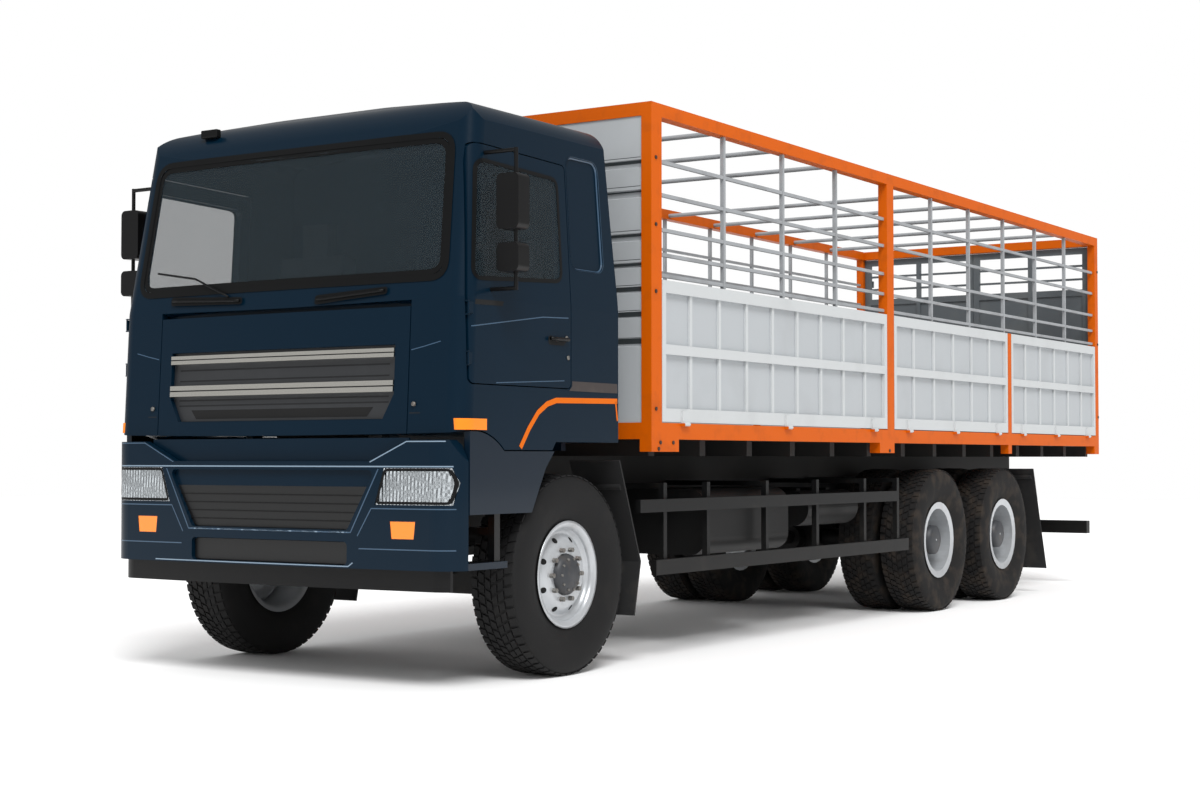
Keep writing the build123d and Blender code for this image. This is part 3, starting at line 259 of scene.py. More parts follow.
muddy_rubber = worn("muddy_rubber", srgb(27, 26, 26), mud, 0.5, 0.85, scale=9, bump=0.3, specular=0.25)
silver = worn("rim_paint", srgb(186, 189, 192), srgb(112, 106, 100), 0.35, 0.32, 0.45, scale=9)
black_plastic = worn(
    "black_plastic", srgb(8, 8, 9), srgb(26, 26, 26), 0.2, 0.4, scale=8, bump=0.1, specular=0.25
)
flap = worn("flap_rubber", srgb(22, 22, 23), dust, 0.3, 0.8, scale=5)
chrome = plain("bright_trim", srgb(232, 230, 222), 0.14, 1.0)
reflector = faceted("lamp_reflector", srgb(196, 202, 206), 0.2, 14)
amber = plain("amber_lamp", srgb(242, 128, 14), 0.15, coat=0.5, glow=0.12)
red_lamp = plain("red_lamp", srgb(150, 16, 14), 0.2, coat=0.5)
glass = plain("window_glass", srgb(46, 57, 63), 0.02, alpha=0.28)
cloth = worn("seat_cloth", srgb(40, 43, 46), srgb(66, 66, 66), 0.4, 0.95, scale=12, bump=0.3)
dash = worn("dash_plastic", srgb(26, 28, 30), srgb(52, 52, 50), 0.3, 0.6, scale=6, bump=0.1)

materials = {
    "navy_paint": navy,
    "orange_paint": orange,
    "panel_paint": panel,
    "cage_grey": cage,
    "door_grey": door_grey,
    "chassis_black": black,
    "engine_cast": cast,
    "deck_wood": deck,
    "tyre_rubber": rubber,
    "rim_silver": silver,
    "black_plastic": black_plastic,
    "flap_rubber": flap,
    "bright_trim": chrome,
    "clear_lamp": reflector,
    "amber_lamp": amber,
    "red_lamp": red_lamp,
    "window_glass": glass,
    "seat_cloth": cloth,
    "dash_plastic": dash,
}
# the step skirts are painted outside and black within
skirt_edge = 1.2095
steps_paint = two_zones("steps_paint", "X", skirt_edge, srgb(8, 9, 10), srgb(3, 22, 37))
for entry in frame["record"]["subparts"]:
    data = nodes[entry["node"]].data
    data.materials.clear()
    data.materials.append(steps_paint if entry["node"] == "cab_steps" else materials[entry["material_slot"]])


# Helpers that lay thin pieces on the surfaces of the CAD nodes
def surface_of(*names):
    """A tree for casting rays onto several nodes."""
    vertices = []
    polygons = []
    for name in names:
        mesh = nodes[name].data
        start = len(vertices)
        vertices.extend(vertex.co.copy() for vertex in mesh.vertices)
        polygons.extend([start + index for index in polygon.vertices] for polygon in mesh.polygons)
    return BVHTree.FromPolygons(vertices, polygons)


def drop_on(tree, point, face):
    """The point on a surface met from a face: left, right or front."""
    beside, beyond = 6.0, 8.0
    origins = {
        "left": (Vector((beside, point[0], point[1])), Vector((-1, 0, 0))),
        "right": (Vector((-beside, point[0], point[1])), Vector((1, 0, 0))),
        "front": (Vector((point[0], -beyond, point[1])), Vector((0, 1, 0))),
    }
    origin, direction = origins[face]
    place, normal, index, distance = tree.ray_cast(origin, direction)
    if place is None:
        return None, None
    return place, normal if normal.dot(direction) < 0 else -normal


def dense(points, step, closed=False):
    """The same broken line with points no further apart than a step."""
    points = [Vector(point) for point in points]
    if closed:
        points.append(points[0])
    line = [points[0]]
    for first, second in zip(points, points[1:]):
        count = max(1, int((second - first).length / step))
        line.extend(first.lerp(second, index / count) for index in range(1, count + 1))
    return line


def rounded(points, radius, closed=True):
    """A flat outline with its corners rounded."""
    points = [Vector(point) for point in points]
    count = len(points)
    line = []
    for index, corner in enumerate(points):
        if not closed and index in (0, count - 1):
            line.append(corner)
            continue
        before, after = points[index - 1], points[(index + 1) % count]
        reach_before = min(radius, (before - corner).length * 0.45)
        reach_after = min(radius, (after - corner).length * 0.45)
        start = corner + (before - corner).normalized() * reach_before
        end = corner + (after - corner).normalized() * reach_after
        for step in range(7):
            t = step / 6
            line.append(start * (1 - t) ** 2 + corner * 2 * t * (1 - t) + end * t * t)
    return line


def object_of(name, mesh, material, body):
    """An object of a finished mesh that rides on a body."""
    mesh.materials.append(material)
    piece = bpy.data.objects.new(name, mesh)
    bpy.context.collection.objects.link(piece)
    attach(piece, body)
    return piece


def new_object(name, vertices, polygons, material, body, smooth=False):
    """An object of vertices and polygons that rides on a body."""
    mesh = bpy.data.meshes.new(name)
    mesh.from_pydata(vertices, [], polygons)
    if smooth:
        for polygon in mesh.polygons:
            polygon.use_smooth = True
    return object_of(name, mesh, material, body)


def ribbon(name, tree, points, face, width, lift, material, body, closed=False, step=0.02):
    """A thin band laid on a surface along a flat line seen from one side."""
    line = dense(points, step, closed)
    vertices = []
    polygons = []
    count = len(line)
    joined = False
    for index, point in enumerate(line):
        before = line[index - 1] if index else (line[-2] if closed else line[0])
        after = line[index + 1] if index < count - 1 else (line[1] if closed else line[-1])
        along = (after - before).normalized()
        across = Vector((-along.y, along.x)) * width / 2
        pair = [drop_on(tree, side_point, face) for side_point in (point + across, point - across)]
        if pair[0][0] is None or pair[1][0] is None:
            joined = False
            continue
        vertices.extend(place + normal * lift for place, normal in pair)
        if joined:
            base = len(vertices)
            polygons.append((base - 4, base - 3, base - 1, base - 2))
        joined = True
    return new_object(name, vertices, polygons, material, body)


def tube(name, points, radius, material, body, sides=8, closed=False):
    """A round tube along points in space."""
    points = [Vector(point) for point in points]
    vertices = []
    polygons = []
    count = len(points)
    for index, point in enumerate(points):
        before = points[index - 1] if index or closed else points[index]
        after = points[(index + 1) % count] if index < count - 1 or closed else points[index]
        along = (after - before).normalized()
        reference = Vector((0, 0, 1)) if abs(along.z) < 0.9 else Vector((0, 1, 0))
        first = along.cross(reference).normalized()
        second = along.cross(first)
        for corner in range(sides):
            angle = 2 * pi * corner / sides
            vertices.append(point + (first * cos(angle) + second * sin(angle)) * radius)
    for index in range(count if closed else count - 1):
        a, b = index * sides, ((index + 1) % count) * sides
        for corner in range(sides):
            following = (corner + 1) % sides
            polygons.append((a + corner, a + following, b + following, b + corner))
    if not closed:
        polygons.append(tuple(reversed(range(sides))))
        polygons.append(tuple(range((count - 1) * sides, count * sides)))
    return new_object(name, vertices, polygons, material, body, smooth=True)


line_lift = 0.0012


def seam(name, tree, points, face, width, material, body, closed=False, lift=line_lift):
    """A thin line on a surface, such as a shut line, a painted shadow line or a painted highlight along a
    crease.
    """
    return ribbon(name, tree, points, face, width, lift, material, body, closed)


def patch(name, tree, outline, face, lift, material, body, cell=0.03):
    """A filled shape laid on a surface, cut to an outline seen from one side."""
    outline = [Vector(point) for point in outline]
    mesh = bmesh.new()
    corners = [mesh.verts.new((point.x, point.y, 0)) for point in outline]
    mesh.faces.new(corners)
    low = (min(p.x for p in outline), min(p.y for p in outline))
    high = (max(p.x for p in outline), max(p.y for p in outline))
    for axis in (0, 1):
        count = int((high[axis] - low[axis]) / cell)
        for index in range(1, count + 1):
            place = [0, 0, 0]
            normal = [0, 0, 0]
            place[axis] = low[axis] + (high[axis] - low[axis]) * index / (count + 1)
            normal[axis] = 1
            geometry = mesh.verts[:] + mesh.edges[:] + mesh.faces[:]
            bmesh.ops.bisect_plane(mesh, geom=geometry, plane_co=place, plane_no=normal)
    missed = []
    for vertex in mesh.verts:
        place, normal = drop_on(tree, (vertex.co.x, vertex.co.y), face)
        if place is None:
            missed.append(vertex)
        else:
            vertex.co = place + normal * lift
    bmesh.ops.delete(mesh, geom=missed, context="VERTS")
    data = bpy.data.meshes.new(name)
    mesh.to_mesh(data)
    mesh.free()
    return object_of(name, data, material, body)


def box_piece(name, low, high, material, body, bevel=0.0):
    """A box between two corners, its edges bevelled."""
    mesh = bmesh.new()
    bmesh.ops.create_cube(mesh, size=1)
    middle = [(a + b) / 2 for a, b in zip(low, high)]
    for vertex in mesh.verts:
        vertex.co = Vector([m + c * abs(b - a) for m, c, a, b in zip(middle, vertex.co, low, high)])
    if bevel:
        bmesh.ops.bevel(mesh, geom=mesh.edges[:], offset=bevel, segments=3, affect="EDGES", profile=0.5)
    data = bpy.data.meshes.new(name)
    mesh.to_mesh(data)
    mesh.free()
    return object_of(name, data, material, body)


def turned(name, profile, centre, material, body, sides=48, facing=1):
    """A form turned about an axle line, from (offset outwards, radius) points."""
    vertices = []
    polygons = []
    for index in range(sides):
        angle = 2 * pi * index / sides
        for offset, radius in profile:
            reach = Vector((facing * offset, cos(angle) * radius, sin(angle) * radius))
            vertices.append(reach + Vector(centre))
    count = len(profile)
    for index in range(sides):
        following = (index + 1) % sides
        for step in range(count - 1):
            a, b = index * count + step, following * count + step
            polygons.append((a, a + 1, b + 1, b))
    return new_object(name, vertices, polygons, material, body, smooth=True)


# Road tyres with tread blocks in place of the plain drums
axle_ys = {"front": -4.0, "mid": 1.3, "rear": 2.7}
axle_z = 0.56
track = 1.065
inner_track = 0.715
tyre_profile = (
    # offset from the middle, radius
    (-0.100, 0.262),
    (-0.112, 0.300),
    (-0.124, 0.322),
    (-0.128, 0.330),
    (-0.144, 0.372),
    (-0.154, 0.430),
    (-0.153, 0.480),
    (-0.147, 0.515),
    (-0.138, 0.538),
    (-0.126, 0.548),
    (-0.060, 0.551),
    (0.0, 0.552),
)
tread_rows = (
    # offset from, offset to, blocks, turn of the row in blocks, slant
    (-0.134, -0.090, 60, 0.0, 0.004),
    (-0.080, -0.045, 60, 0.5, 0.008),
    (-0.037, -0.004, 60, 0.1, 0.008),
    (0.004, 0.037, 60, 0.6, -0.008),
    (0.045, 0.080, 60, 0.2, -0.008),
    (0.090, 0.134, 60, 0.7, -0.004),
)
block_share = 0.72
block_radius = 0.5595
tread_base = 0.546
shoulder_offset = 0.13
shoulder_drop = 0.006
tyre_sides = 72


def tyre_mesh(vertices, polygons, x, y, z):
    """Adds one tyre about an axle line to a mesh under construction."""
    profile = list(tyre_profile) + [(-offset, radius) for offset, radius in reversed(tyre_profile[:-1])]
    start = len(vertices)
    count = len(profile)
    for index in range(tyre_sides):
        angle = 2 * pi * (index + 0.5) / tyre_sides
        for offset, radius in profile:
            vertices.append((x + offset, y + cos(angle) * radius, z + sin(angle) * radius))
    for index in range(tyre_sides):
        following = (index + 1) % tyre_sides
        for step in range(count - 1):
            a, b = start + index * count + step, start + following * count + step
            polygons.append((a, a + 1, b + 1, b))
    for low, high, blocks, turn, slant in tread_rows:
        for block in range(blocks):
            base = len(vertices)
            for radius in (tread_base, block_radius):
                for offset, shift in ((low, -slant), (high, slant)):
                    on_shoulder = abs(offset) > shoulder_offset and radius == block_radius
                    outer = radius - (shoulder_drop if on_shoulder else 0)
                    for end in (0, block_share):
                        angle = 2 * pi * (block + turn + end) / blocks + shift / axle_z
                        vertices.append((x + offset, y + cos(angle) * outer, z + sin(angle) * outer))
            polygons.append((base + 4, base + 5, base + 7, base + 6))
            for a, b in ((0, 1), (1, 3), (3, 2), (2, 0)):
                polygons.append((base + a, base + b, base + 4 + b, base + 4 + a))


tyre_sets = []
for name, side in (("left", 1), ("right", -1)):
    tyre_sets.append((f"tyre_front_{name}", f"wheel_front_{name}", side, axle_ys["front"], (track,)))
    for row in ("mid", "rear"):
        twins = (track, inner_track)
        tyre_sets.append((f"tyres_{row}_{name}", f"wheels_{row}_{name}", side, axle_ys[row], twins))
for node, body, side, y, tracks in tyre_sets:
    vertices = []
    polygons = []
    for x in tracks:
        tyre_mesh(vertices, polygons, side * x, y, axle_z)
    finish = rubber if "front" in node else muddy_rubber
    tyre = new_object(f"road_{node}", vertices, polygons, finish, body)
    lathe_count = tyre_sides * (2 * len(tyre_profile) - 2)
    block_count = 5 * sum(row[2] for row in tread_rows)
    for polygon in tyre.data.polygons:
        polygon.use_smooth = polygon.index % (lathe_count + block_count) < lathe_count
    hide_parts(node)

# Front discs, and the wheel nuts, hub caps and hand holes of all discs, the holes filled with painted shade
nut_count = 10


def ring_of_nuts(name, body, side, y, x_from, x_to, radius, nut):
    """Hexagon nuts round an axle line."""
    vertices = []
    polygons = []
    for index in range(nut_count):
        turn = 2 * pi * index / nut_count
        cy, cz = y + cos(turn) * radius, axle_z + sin(turn) * radius
        base = len(vertices)
        for x in (x_from, x_to):
            for corner in range(6):
                angle = pi * corner / 3
                vertices.append((side * x, cy + cos(angle) * nut, cz + sin(angle) * nut))
        for corner in range(6):
            following = (corner + 1) % 6
            polygons.append((base + corner, base + following, base + 6 + following, base + 6 + corner))
        polygons.append(tuple(base + 6 + corner for corner in range(6)))
    return new_object(name, vertices, polygons, nut_steel, body)


nut_steel = worn("nut_steel", srgb(120, 118, 114), rust, 0.4, 0.5, 0.6, scale=30)
hub_dark = worn("hub_dark", srgb(52, 54, 58), srgb(110, 96, 80), 0.35, 0.5, scale=12)
# painted shade for the holes, slots and recesses seen into
painted_void_shade = plain("painted_void_shade", srgb(8, 8, 9), 0.9)
front_rim = (
    # offset outwards, radius
    (0.942, 0.300),
    (0.950, 0.282),
    (0.962, 0.262),
    (1.120, 0.252),
    (1.168, 0.256),
    (1.184, 0.268),
    (1.189, 0.284),
    (1.190, 0.299),
    (1.184, 0.290),
    (1.176, 0.274),
    (1.160, 0.258),
    (1.148, 0.246),
    (1.134, 0.238),
    (1.138, 0.222),
    (1.154, 0.204),
    (1.166, 0.188),
    (1.170, 0.176),
    (1.170, 0.112),
)
front_hub = (
    (1.168, 0.118),
    (1.190, 0.112),
    (1.206, 0.098),
    (1.212, 0.080),
    (1.214, 0.055),
    (1.219, 0.050),
    (1.219, 0.0),
)
rear_cap = ((0.0, 0.118), (0.04, 0.112), (0.052, 0.090), (0.052, 0.0))
rear_cap_x = 1.115
hand_hole_count = 8
hand_hole_half_turn = 0.085
hand_hole_share = 0.42
hand_hole_lift = 0.0025


def hand_holes(name, body, side, y, x_near, x_far, radius_near, radius_far):
    """Round holes lying on a cone of the disc, filled with painted shade."""
    vertices = []
    polygons = []
    sides = 12
    for hole in range(hand_hole_count):
        turn = 2 * pi * (hole + 0.5) / hand_hole_count
        base = len(vertices)
        for corner in range(sides):
            angle = 2 * pi * corner / sides
            share = 0.5 + hand_hole_share * cos(angle)
            radius = radius_near + (radius_far - radius_near) * share
            x = x_near + (x_far - x_near) * share + hand_hole_lift
            place = turn + hand_hole_half_turn * sin(angle)
            vertices.append((side * x, y + cos(place) * radius, axle_z + sin(place) * radius))
        polygons.append(tuple(range(base, base + sides)))
    new_object(name, vertices, polygons, painted_void_shade, body)


for name, side in (("left", 1), ("right", -1)):
    body = f"wheel_front_{name}"
    y = axle_ys["front"]
    rim = turned(f"disc_front_{name}", front_rim, (0, y, axle_z), silver, body, sides=64, facing=side)
    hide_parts(f"rim_front_{name}")
    turned(f"hub_front_{name}", front_hub, (0, y, axle_z), hub_dark, body, facing=side)
    hand_holes(f"holes_front_{name}", body, side, y, 1.166, 1.138, 0.188, 0.222)
    ring_of_nuts(f"nuts_front_{name}", body, side, y, 1.168, 1.196, 0.142, 0.014)
    ring_of_nuts(f"hub_bolts_front_{name}", body, side, y, 1.19, 1.216, 0.088, 0.008)
    for row in ("mid", "rear"):
        body = f"wheels_{row}_{name}"
        y = axle_ys[row]
        ring_of_nuts(f"nuts_{row}_{name}", body, side, y, 0.900, 0.934, 0.152, 0.017)
        hand_holes(f"holes_{row}_{name}", body, side, y, 0.850, 0.924, 0.196, 0.212)
        turned(f"hub_cap_{row}_{name}", rear_cap, (side * rear_cap_x, y, axle_z), hub_dark, body, facing=side)

# Cab details laid on its surfaces
cab_tree = surface_of("cab_shell", "cab_roof", "corner_panels", "fenders", "windscreen", "front_lid")
seal = worn("window_seal", srgb(5, 6, 7), srgb(14, 15, 16), 0.2, 0.5, scale=8, specular=0.2)
# a lighter navy laid along creases and edges: a painted highlight
crease_highlight = plain("crease_highlight_line", srgb(46, 74, 98), 0.35, coat=0.3)
shadow = plain("shadow_line", srgb(4, 7, 11), 0.7)
sill_brown = worn("sill_brown", srgb(52, 44, 42), dust, 0.3, 0.5, scale=8)
stripe = worn("orange_stripe", srgb(212, 100, 0), rust, 0.1, 0.45, scale=9, specular=0.12)

# heights above the surfaces that the pieces lie on
paint_lift = 0.0015
cut_lift = 0.001
rim_lift = 0.002

# The windscreen's black seal and the printed band within it; outlines seen from the front are (x, z)
screen = ((-1.11, 2.14), (1.11, 2.14), (1.07, 2.905), (-1.07, 2.905))
screen_middle = 2.5
screen_corner = 0.10
band_corner = 0.09
band_share = 0.975
band_inset = 0.03
outline = rounded(screen, screen_corner)
ribbon("windscreen_seal", cab_tree, outline, "front", 0.034, 0.004, seal, "cab", closed=True)
band = [(x * band_share, z + (band_inset if z < screen_middle else -band_inset)) for x, z in screen]
outline = rounded(band, band_corner)
ribbon("windscreen_band", cab_tree, outline, "front", 0.03, paint_lift, seal, "cab", closed=True)

wiper_housings = (
    # x from, x to, z from, z to
    (-0.83, -0.27, 2.095, 2.075),
    (0.26, 0.75, 2.055, 2.085),
)
housing_corner = 0.02
housing_lift = 0.012
blade_inset = 0.02
blade_lift = 0.016
blade_radius = 0.009
arm_points = ((-0.372, 2.10), (-0.649, 2.215), (-0.958, 2.262))
arm_lift = 0.02
arm_radius = 0.006
for number, (x_from, x_to, z_from, z_to) in enumerate(wiper_housings, 1):
    shape = ((x_from, z_from - 0.026), (x_to, z_to - 0.02), (x_to, z_to + 0.02), (x_from, z_from + 0.024))
    outline = rounded(shape, housing_corner)
    patch(f"wiper_housing_{number}", cab_tree, outline, "front", housing_lift, seal, "cab")
    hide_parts("wipers")
    blade = dense(((x_from + blade_inset, z_from), (x_to - blade_inset, z_to)), 0.05)
    blade = [drop_on(cab_tree, point, "front") for point in blade]
    path = [place + normal * blade_lift for place, normal in blade]
    tube(f"wiper_blade_{number}", path, blade_radius, seal, "cab")
arm = [drop_on(cab_tree, point, "front") for point in dense(arm_points, 0.06)]
tube("wiper_arm", [place + normal * arm_lift for place, normal in arm], arm_radius, seal, "cab")

# The dark grille of the front lid, with its slot filled with painted shade, and its shadow lines
lid_tree = surface_of("front_lid")
grille = ((-0.738, 1.412), (0.738, 1.412), (0.808, 1.542), (0.808, 1.798), (-0.808, 1.798), (-0.808, 1.542))
grille_slot = ((-0.62, 1.425), (0.62, 1.425), (0.66, 1.475), (-0.66, 1.475))
grille_rib_reach = 0.76
grille_rib_heights = (1.500, 1.530, 1.640, 1.700)
grille_black = worn("grille_black", srgb(34, 36, 39), srgb(52, 54, 56), 0.3, 0.45, scale=6)
patch("grille_panel", lid_tree, grille, "front", cut_lift, grille_black, "front_lid")
patch("grille_slot", lid_tree, grille_slot, "front", rim_lift, painted_void_shade, "front_lid")
for z in grille_rib_heights:
    points = ((-grille_rib_reach, z), (grille_rib_reach, z))
    name = f"grille_rib_{int(z * 1000)}"
    seam(name, lid_tree, points, "front", 0.008, shadow, "front_lid", lift=rim_lift)

# Corner panels: a painted highlight along a crease, a short slot drawn as a painted shadow line, and a stud
# on each
panel_tree = surface_of("corner_panels")
panel_crease = ((0.915, 1.768), (1.0, 1.785), (1.10, 1.808))
panel_slot = ((0.915, 1.44), (0.985, 1.44))
panel_stud = (0.945, 1.486)
stud_radius = 0.012
stud_height = 0.012
for name, side in (("left", 1), ("right", -1)):
    points = [(side * x, z) for x, z in panel_crease]
    seam(f"panel_crease_{name}", panel_tree, points, "front", 0.005, crease_highlight, "cab")
    points = [(side * x, z) for x, z in panel_slot]
    seam(f"panel_slot_{name}", panel_tree, points, "front", 0.005, shadow, "cab")
    place, normal = drop_on(panel_tree, (side * panel_stud[0], panel_stud[1]), "front")
    path = [place, place + normal * stud_height]
    tube(f"panel_stud_{name}", path, stud_radius, nut_steel, "cab", sides=12)

# Dark rims of the head lamps
lamp_tree = surface_of("headlamps")
head_lamp = ((0.752, 0.975), (0.806, 1.146), (1.188, 1.146), (1.212, 1.08), (1.19, 0.975))
lamp_corner = 0.02
for name, side in (("left", 1), ("right", -1)):
    line = rounded([(side * x, z) for x, z in head_lamp], lamp_corner)
    ribbon(f"lamp_rim_{name}", lamp_tree, line, "front", 0.014, rim_lift, seal, "chassis", closed=True)

# Bumper: painted highlight lines along its creases and edges, and dark plates with wires across its two
# openings, standing for black mesh and the painted shade behind it
bumper_tree = surface_of("bumper")
gleam = plain("edge_gleam", srgb(118, 138, 156), 0.3, coat=0.3)
bumper_lines = (
    # name, finish, width, points
    ("ledge", gleam, 0.007, ((-1.20, 1.163), (-0.76, 1.163), (0.76, 1.163), (1.20, 1.163))),
    ("opening", crease_highlight, 0.007, ((-0.765, 1.15), (-0.585, 0.818), (0.585, 0.818), (0.765, 1.15))),
    ("opening_low", gleam, 0.006, ((-0.56, 0.818), (0.56, 0.818))),
    ("slot_low", gleam, 0.006, ((-0.85, 0.640), (0.57, 0.640), (0.60, 0.66))),
    ("left_lamp", crease_highlight, 0.006, ((1.21, 0.945), (0.72, 0.945), (0.63, 0.80))),
    ("right_lamp", crease_highlight, 0.006, ((-1.21, 0.945), (-0.72, 0.945), (-0.63, 0.80))),
    ("left_low", crease_highlight, 0.006, ((1.21, 0.735), (0.64, 0.735))),
    ("right_low", crease_highlight, 0.006, ((-1.21, 0.735), (-0.64, 0.735))),
    ("left_brow", gleam, 0.006, ((0.71, 1.186), (0.945, 1.292), (1.17, 1.292))),
    ("right_brow", crease_highlight, 0.006, ((-0.71, 1.186), (-0.945, 1.292), (-1.17, 1.292))),
)
for name, finish, width, points in bumper_lines:
    seam(f"bumper_line_{name}", bumper_tree, points, "front", width, finish, "chassis")

# dark plates in the bumper openings: the black mesh and the painted shade behind it in one colour
mesh_and_painted_shade = plain("mesh_black_and_painted_shade", srgb(6, 7, 8), 0.4)
meshes_with_painted_shade = (
    # name, bottom, top, half width at the bottom, half width at the top
    ("opening", 0.832, 1.057, 0.56, 0.69),
    ("slot", 0.650, 0.765, 0.556, 0.556),
)
mesh_front, mesh_back = -5.118, -5.112
wire_front, wire_back = -5.122, -5.116
wire_half = 0.003
wire_heights = (0.875, 0.92, 0.965, 1.01)
for name, low, high, half_low, half_high in meshes_with_painted_shade:
    corners = ((-half_low, low), (half_low, low), (half_high, high), (-half_high, high))
    vertices = [(x, y, z) for y in (mesh_front, mesh_back) for x, z in corners]
    faces = ((0, 1, 2, 3), (7, 6, 5, 4), (0, 4, 5, 1), (1, 5, 6, 2), (2, 6, 7, 3), (3, 7, 4, 0))
    new_object(f"dark_mesh_{name}", vertices, faces, mesh_and_painted_shade, "chassis")
for z in wire_heights:
    half = 0.57 + (z - 0.83) * 0.57
    low_corner = (-half, wire_front, z - wire_half)
    high_corner = (half, wire_back, z + wire_half)
    box_piece(f"mesh_wire_{int(z * 1000)}", low_corner, high_corner, black_plastic, "chassis")

# Doors and fenders; outlines seen from a side are (y, z)
window = ((-4.948, 2.135), (-4.868, 2.765), (-4.135, 2.745), (-4.135, 2.18))
window_corner = 0.06
door_crease = ((-4.97, 1.885), (-4.33, 1.97), (-4.08, 1.98))
door_low_crease = ((-4.76, 1.60), (-4.12, 1.632))
door_vent = ((-4.945, 1.999), (-4.70, 2.005), (-4.69, 2.03), (-4.94, 2.026))
handle_recess = rounded(((-4.275, 1.825), (-4.12, 1.825), (-4.09, 1.86), (-4.275, 1.875)), 0.02)
handle_bar = ((-4.27, 1.858), (-4.10, 1.858))
handle_lift = 0.016
handle_radius = 0.011
stripe_lines = (
    # name, width, points
    ("arch", 0.03, (
        (-4.565, 1.228), (-4.46, 1.365), (-4.374, 1.452), (-4.288, 1.50), (-4.20, 1.522), (-3.575, 1.533),
    )),
    ("rear", 0.014, ((-3.592, 1.53), (-3.573, 1.42))),
    ("front", 0.012, ((-5.06, 1.24), (-4.575, 1.24))),
)
sill = ((-4.10, 1.578), (-3.575, 1.578), (-3.575, 1.632), (-4.10, 1.632))
for name in ("left", "right"):
    door_tree = surface_of(f"door_{name}")
    body = f"door_{name}"
    glazed_tree = surface_of(f"door_{name}", f"door_glass_{name}")
    line = rounded(window, window_corner)
    ribbon(f"door_seal_{name}", glazed_tree, line, name, 0.022, rim_lift, seal, body, closed=True)
    # the door's crease lines are painted highlights
    seam(f"door_crease_{name}", door_tree, door_crease, name, 0.006, crease_highlight, body)
    seam(f"door_low_crease_{name}", door_tree, door_low_crease, name, 0.005, crease_highlight, body)
    # the vent and the handle recess are filled with painted shade
    patch(f"door_vent_{name}", door_tree, door_vent, name, cut_lift, painted_void_shade, body)
    patch(f"handle_recess_{name}", door_tree, handle_recess, name, cut_lift, painted_void_shade, body)
    bar = [drop_on(door_tree, point, name) for point in dense(handle_bar, 0.05)]
    path = [place + normal * handle_lift for place, normal in bar]
    tube(f"door_handle_{name}", path, handle_radius, black_plastic, body)

    fender_tree = surface_of("fenders", "cab_shell", "corner_panels")
    for part, width, points in stripe_lines:
        ribbon(f"stripe_{part}_{name}", fender_tree, points, name, width, paint_lift, stripe, "cab")
    patch(f"sill_strip_{name}", fender_tree, sill, name, paint_lift, sill_brown, "cab")

# A painted highlight line along the edge of the quarter panel's recess, and the locks behind the door handle
quarter_recess = rounded(((-4.03, 2.26), (-3.70, 2.26), (-3.715, 2.89), (-4.03, 2.89)), 0.07)
locks = ((-4.10, 1.868), (-4.085, 1.76))
lock_radius = 0.012
lock_height = 0.006
for name in ("left", "right"):
    shell_tree = surface_of("cab_shell")
    seam(f"quarter_edge_{name}", shell_tree, quarter_recess, name, 0.012, crease_highlight, "cab", closed=True)
    lock_tree = surface_of("cab_shell", f"door_{name}")
    for number, point in enumerate(locks, 1):
        place, normal = drop_on(lock_tree, point, name)
        path = [place, place + normal * lock_height]
        tube(f"lock_{name}_{number}", path, lock_radius, nut_steel, f"door_{name}", sides=12)

# Dark ribs across the front of the headboard
headboard_tree = surface_of("headboard")
rib_grey = worn("rib_grey", srgb(62, 68, 70), srgb(40, 42, 42), 0.3, 0.5, scale=6)
rib_reach = 1.17
for z in (1.907, 2.07, 2.222, 2.374, 2.549, 2.814, 2.987):
    points = ((-rib_reach, z), (rib_reach, z))
    name = f"headboard_rib_{int(z * 1000)}"
    ribbon(name, headboard_tree, points, "front", 0.036, rim_lift, rib_grey, "chassis", step=0.1)

marker_low = (-0.784, -4.87, 3.05)
marker_high = (-0.657, -4.83, 3.098)
box_piece("roof_marker", marker_low, marker_high, seal, "cab", bevel=0.008)


def studs(name, tree, places, face, radius, height, material, body):
    """Round bolt heads on a surface."""
    vertices = []
    polygons = []
    sides = 8
    tilted = Vector((0.1, 0.2, 1.0))
    for point in places:
        place, normal = drop_on(tree, point, face)
        if place is None:
            continue
        first = normal.cross(tilted).normalized()
        second = normal.cross(first)
        base = len(vertices)
        for rise in (0, height):
            for corner in range(sides):
                angle = 2 * pi * corner / sides
                vertices.append(place + normal * rise + (first * cos(angle) + second * sin(angle)) * radius)
        top = base + sides
        for corner in range(sides):
            following = (corner + 1) % sides
            polygons.append((base + corner, base + following, top + following, top + corner))
        polygons.append(tuple(top + corner for corner in range(sides)))
    return new_object(name, vertices, polygons, material, body)


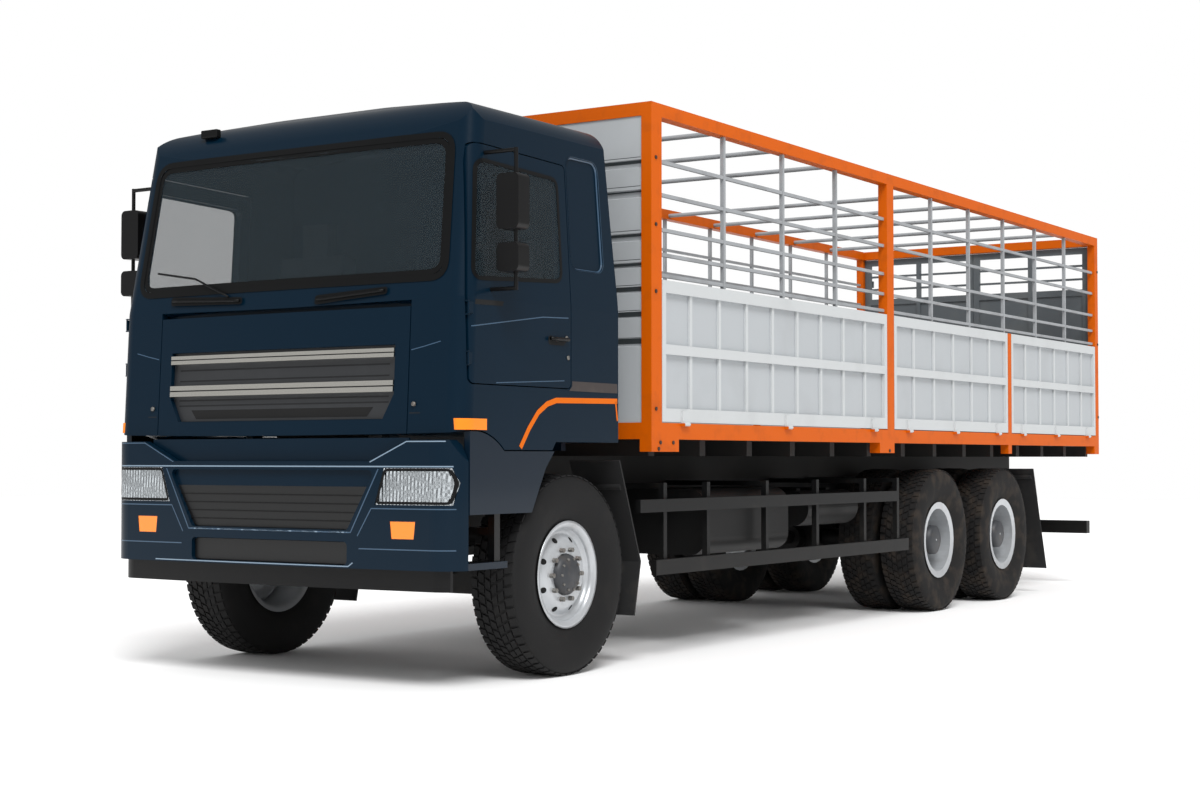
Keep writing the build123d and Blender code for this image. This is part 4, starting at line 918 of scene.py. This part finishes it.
# Bolts of the orange frame
bolt_dark = worn("bolt_dark", srgb(44, 34, 30), rust, 0.5, 0.6, scale=40)
frame_tree = surface_of("body_frame")
upper_row = (-3.10, -2.95, -2.2, -1.5, -0.8, -0.1, 0.55, 1.2, 1.9, 2.5, 3.2, 3.9, 4.6)
lower_row = (-3.12, -2.6, -1.95, -1.05, -0.45, 0.22, 0.9, 1.6, 2.2, 2.9, 3.6, 4.2, 4.95)
bolt_places = [(y, 1.30) for y in upper_row]
bolt_places += [(-3.15, z) for z in (1.5, 2.2, 2.6, 3.0)]
bolt_places += [(5.1, z) for z in (1.6, 2.3, 3.0)]
bolt_places += [(y, 1.262) for y in lower_row]
bolt_radius = 0.012
bolt_height = 0.006
for name in ("left", "right"):
    studs(
        f"frame_bolts_{name}", frame_tree, bolt_places, name, bolt_radius, bolt_height, bolt_dark, "chassis"
    )

# Floor, sky, lamps and the photograph's camera
floor_size = 80
diffuse_sky = 0.8
glossy_sky = 0.42
sun_energy = 2.4
sun_spread = radians(25)
sun_turn = (radians(38), radians(18), radians(20))
camera_place = (7.0095, -12.7201, 1.2054)
camera_turn = (radians(91.776), 0, radians(32.743))
camera_lens = 56.43
sensor_width = 36

bpy.ops.mesh.primitive_plane_add(size=floor_size)
floor = bpy.context.object
floor.name = "floor"
floor.data.materials.append(plain("floor_white", srgb(255, 255, 255), 0.9))

world = bpy.data.worlds.new("white_sky")
bpy.context.scene.world = world
world.use_nodes = True
sky = world.node_tree.nodes
sky_links = world.node_tree.links
background = sky["Background"]
background.inputs["Color"].default_value = (1, 1, 1, 1)
path = sky.new("ShaderNodeLightPath")
# white to the camera, dimmer in reflections, so that dark paint stays dark
dimmed = sky.new("ShaderNodeMapRange")
dimmed.inputs["To Min"].default_value = diffuse_sky
dimmed.inputs["To Max"].default_value = glossy_sky
sky_links.new(path.outputs["Is Glossy Ray"], dimmed.inputs["Value"])
seen = sky.new("ShaderNodeMath")
seen.operation = "MAXIMUM"
sky_links.new(path.outputs["Is Camera Ray"], seen.inputs[0])
sky_links.new(dimmed.outputs["Result"], seen.inputs[1])
sky_links.new(seen.outputs["Value"], background.inputs["Strength"])

sun = bpy.data.lights.new("sun", "SUN")
sun.energy = sun_energy
sun.angle = sun_spread
sun_object = bpy.data.objects.new("sun", sun)
sun_object.rotation_euler = sun_turn
bpy.context.collection.objects.link(sun_object)

camera_data = bpy.data.cameras.new("photo_camera")
camera_data.lens = camera_lens
camera_data.sensor_width = sensor_width
camera = bpy.data.objects.new("photo_camera", camera_data)
camera.location = camera_place
camera.rotation_euler = camera_turn
bpy.context.collection.objects.link(camera)
bpy.context.scene.camera = camera
bpy.context.scene.view_settings.view_transform = "Standard"
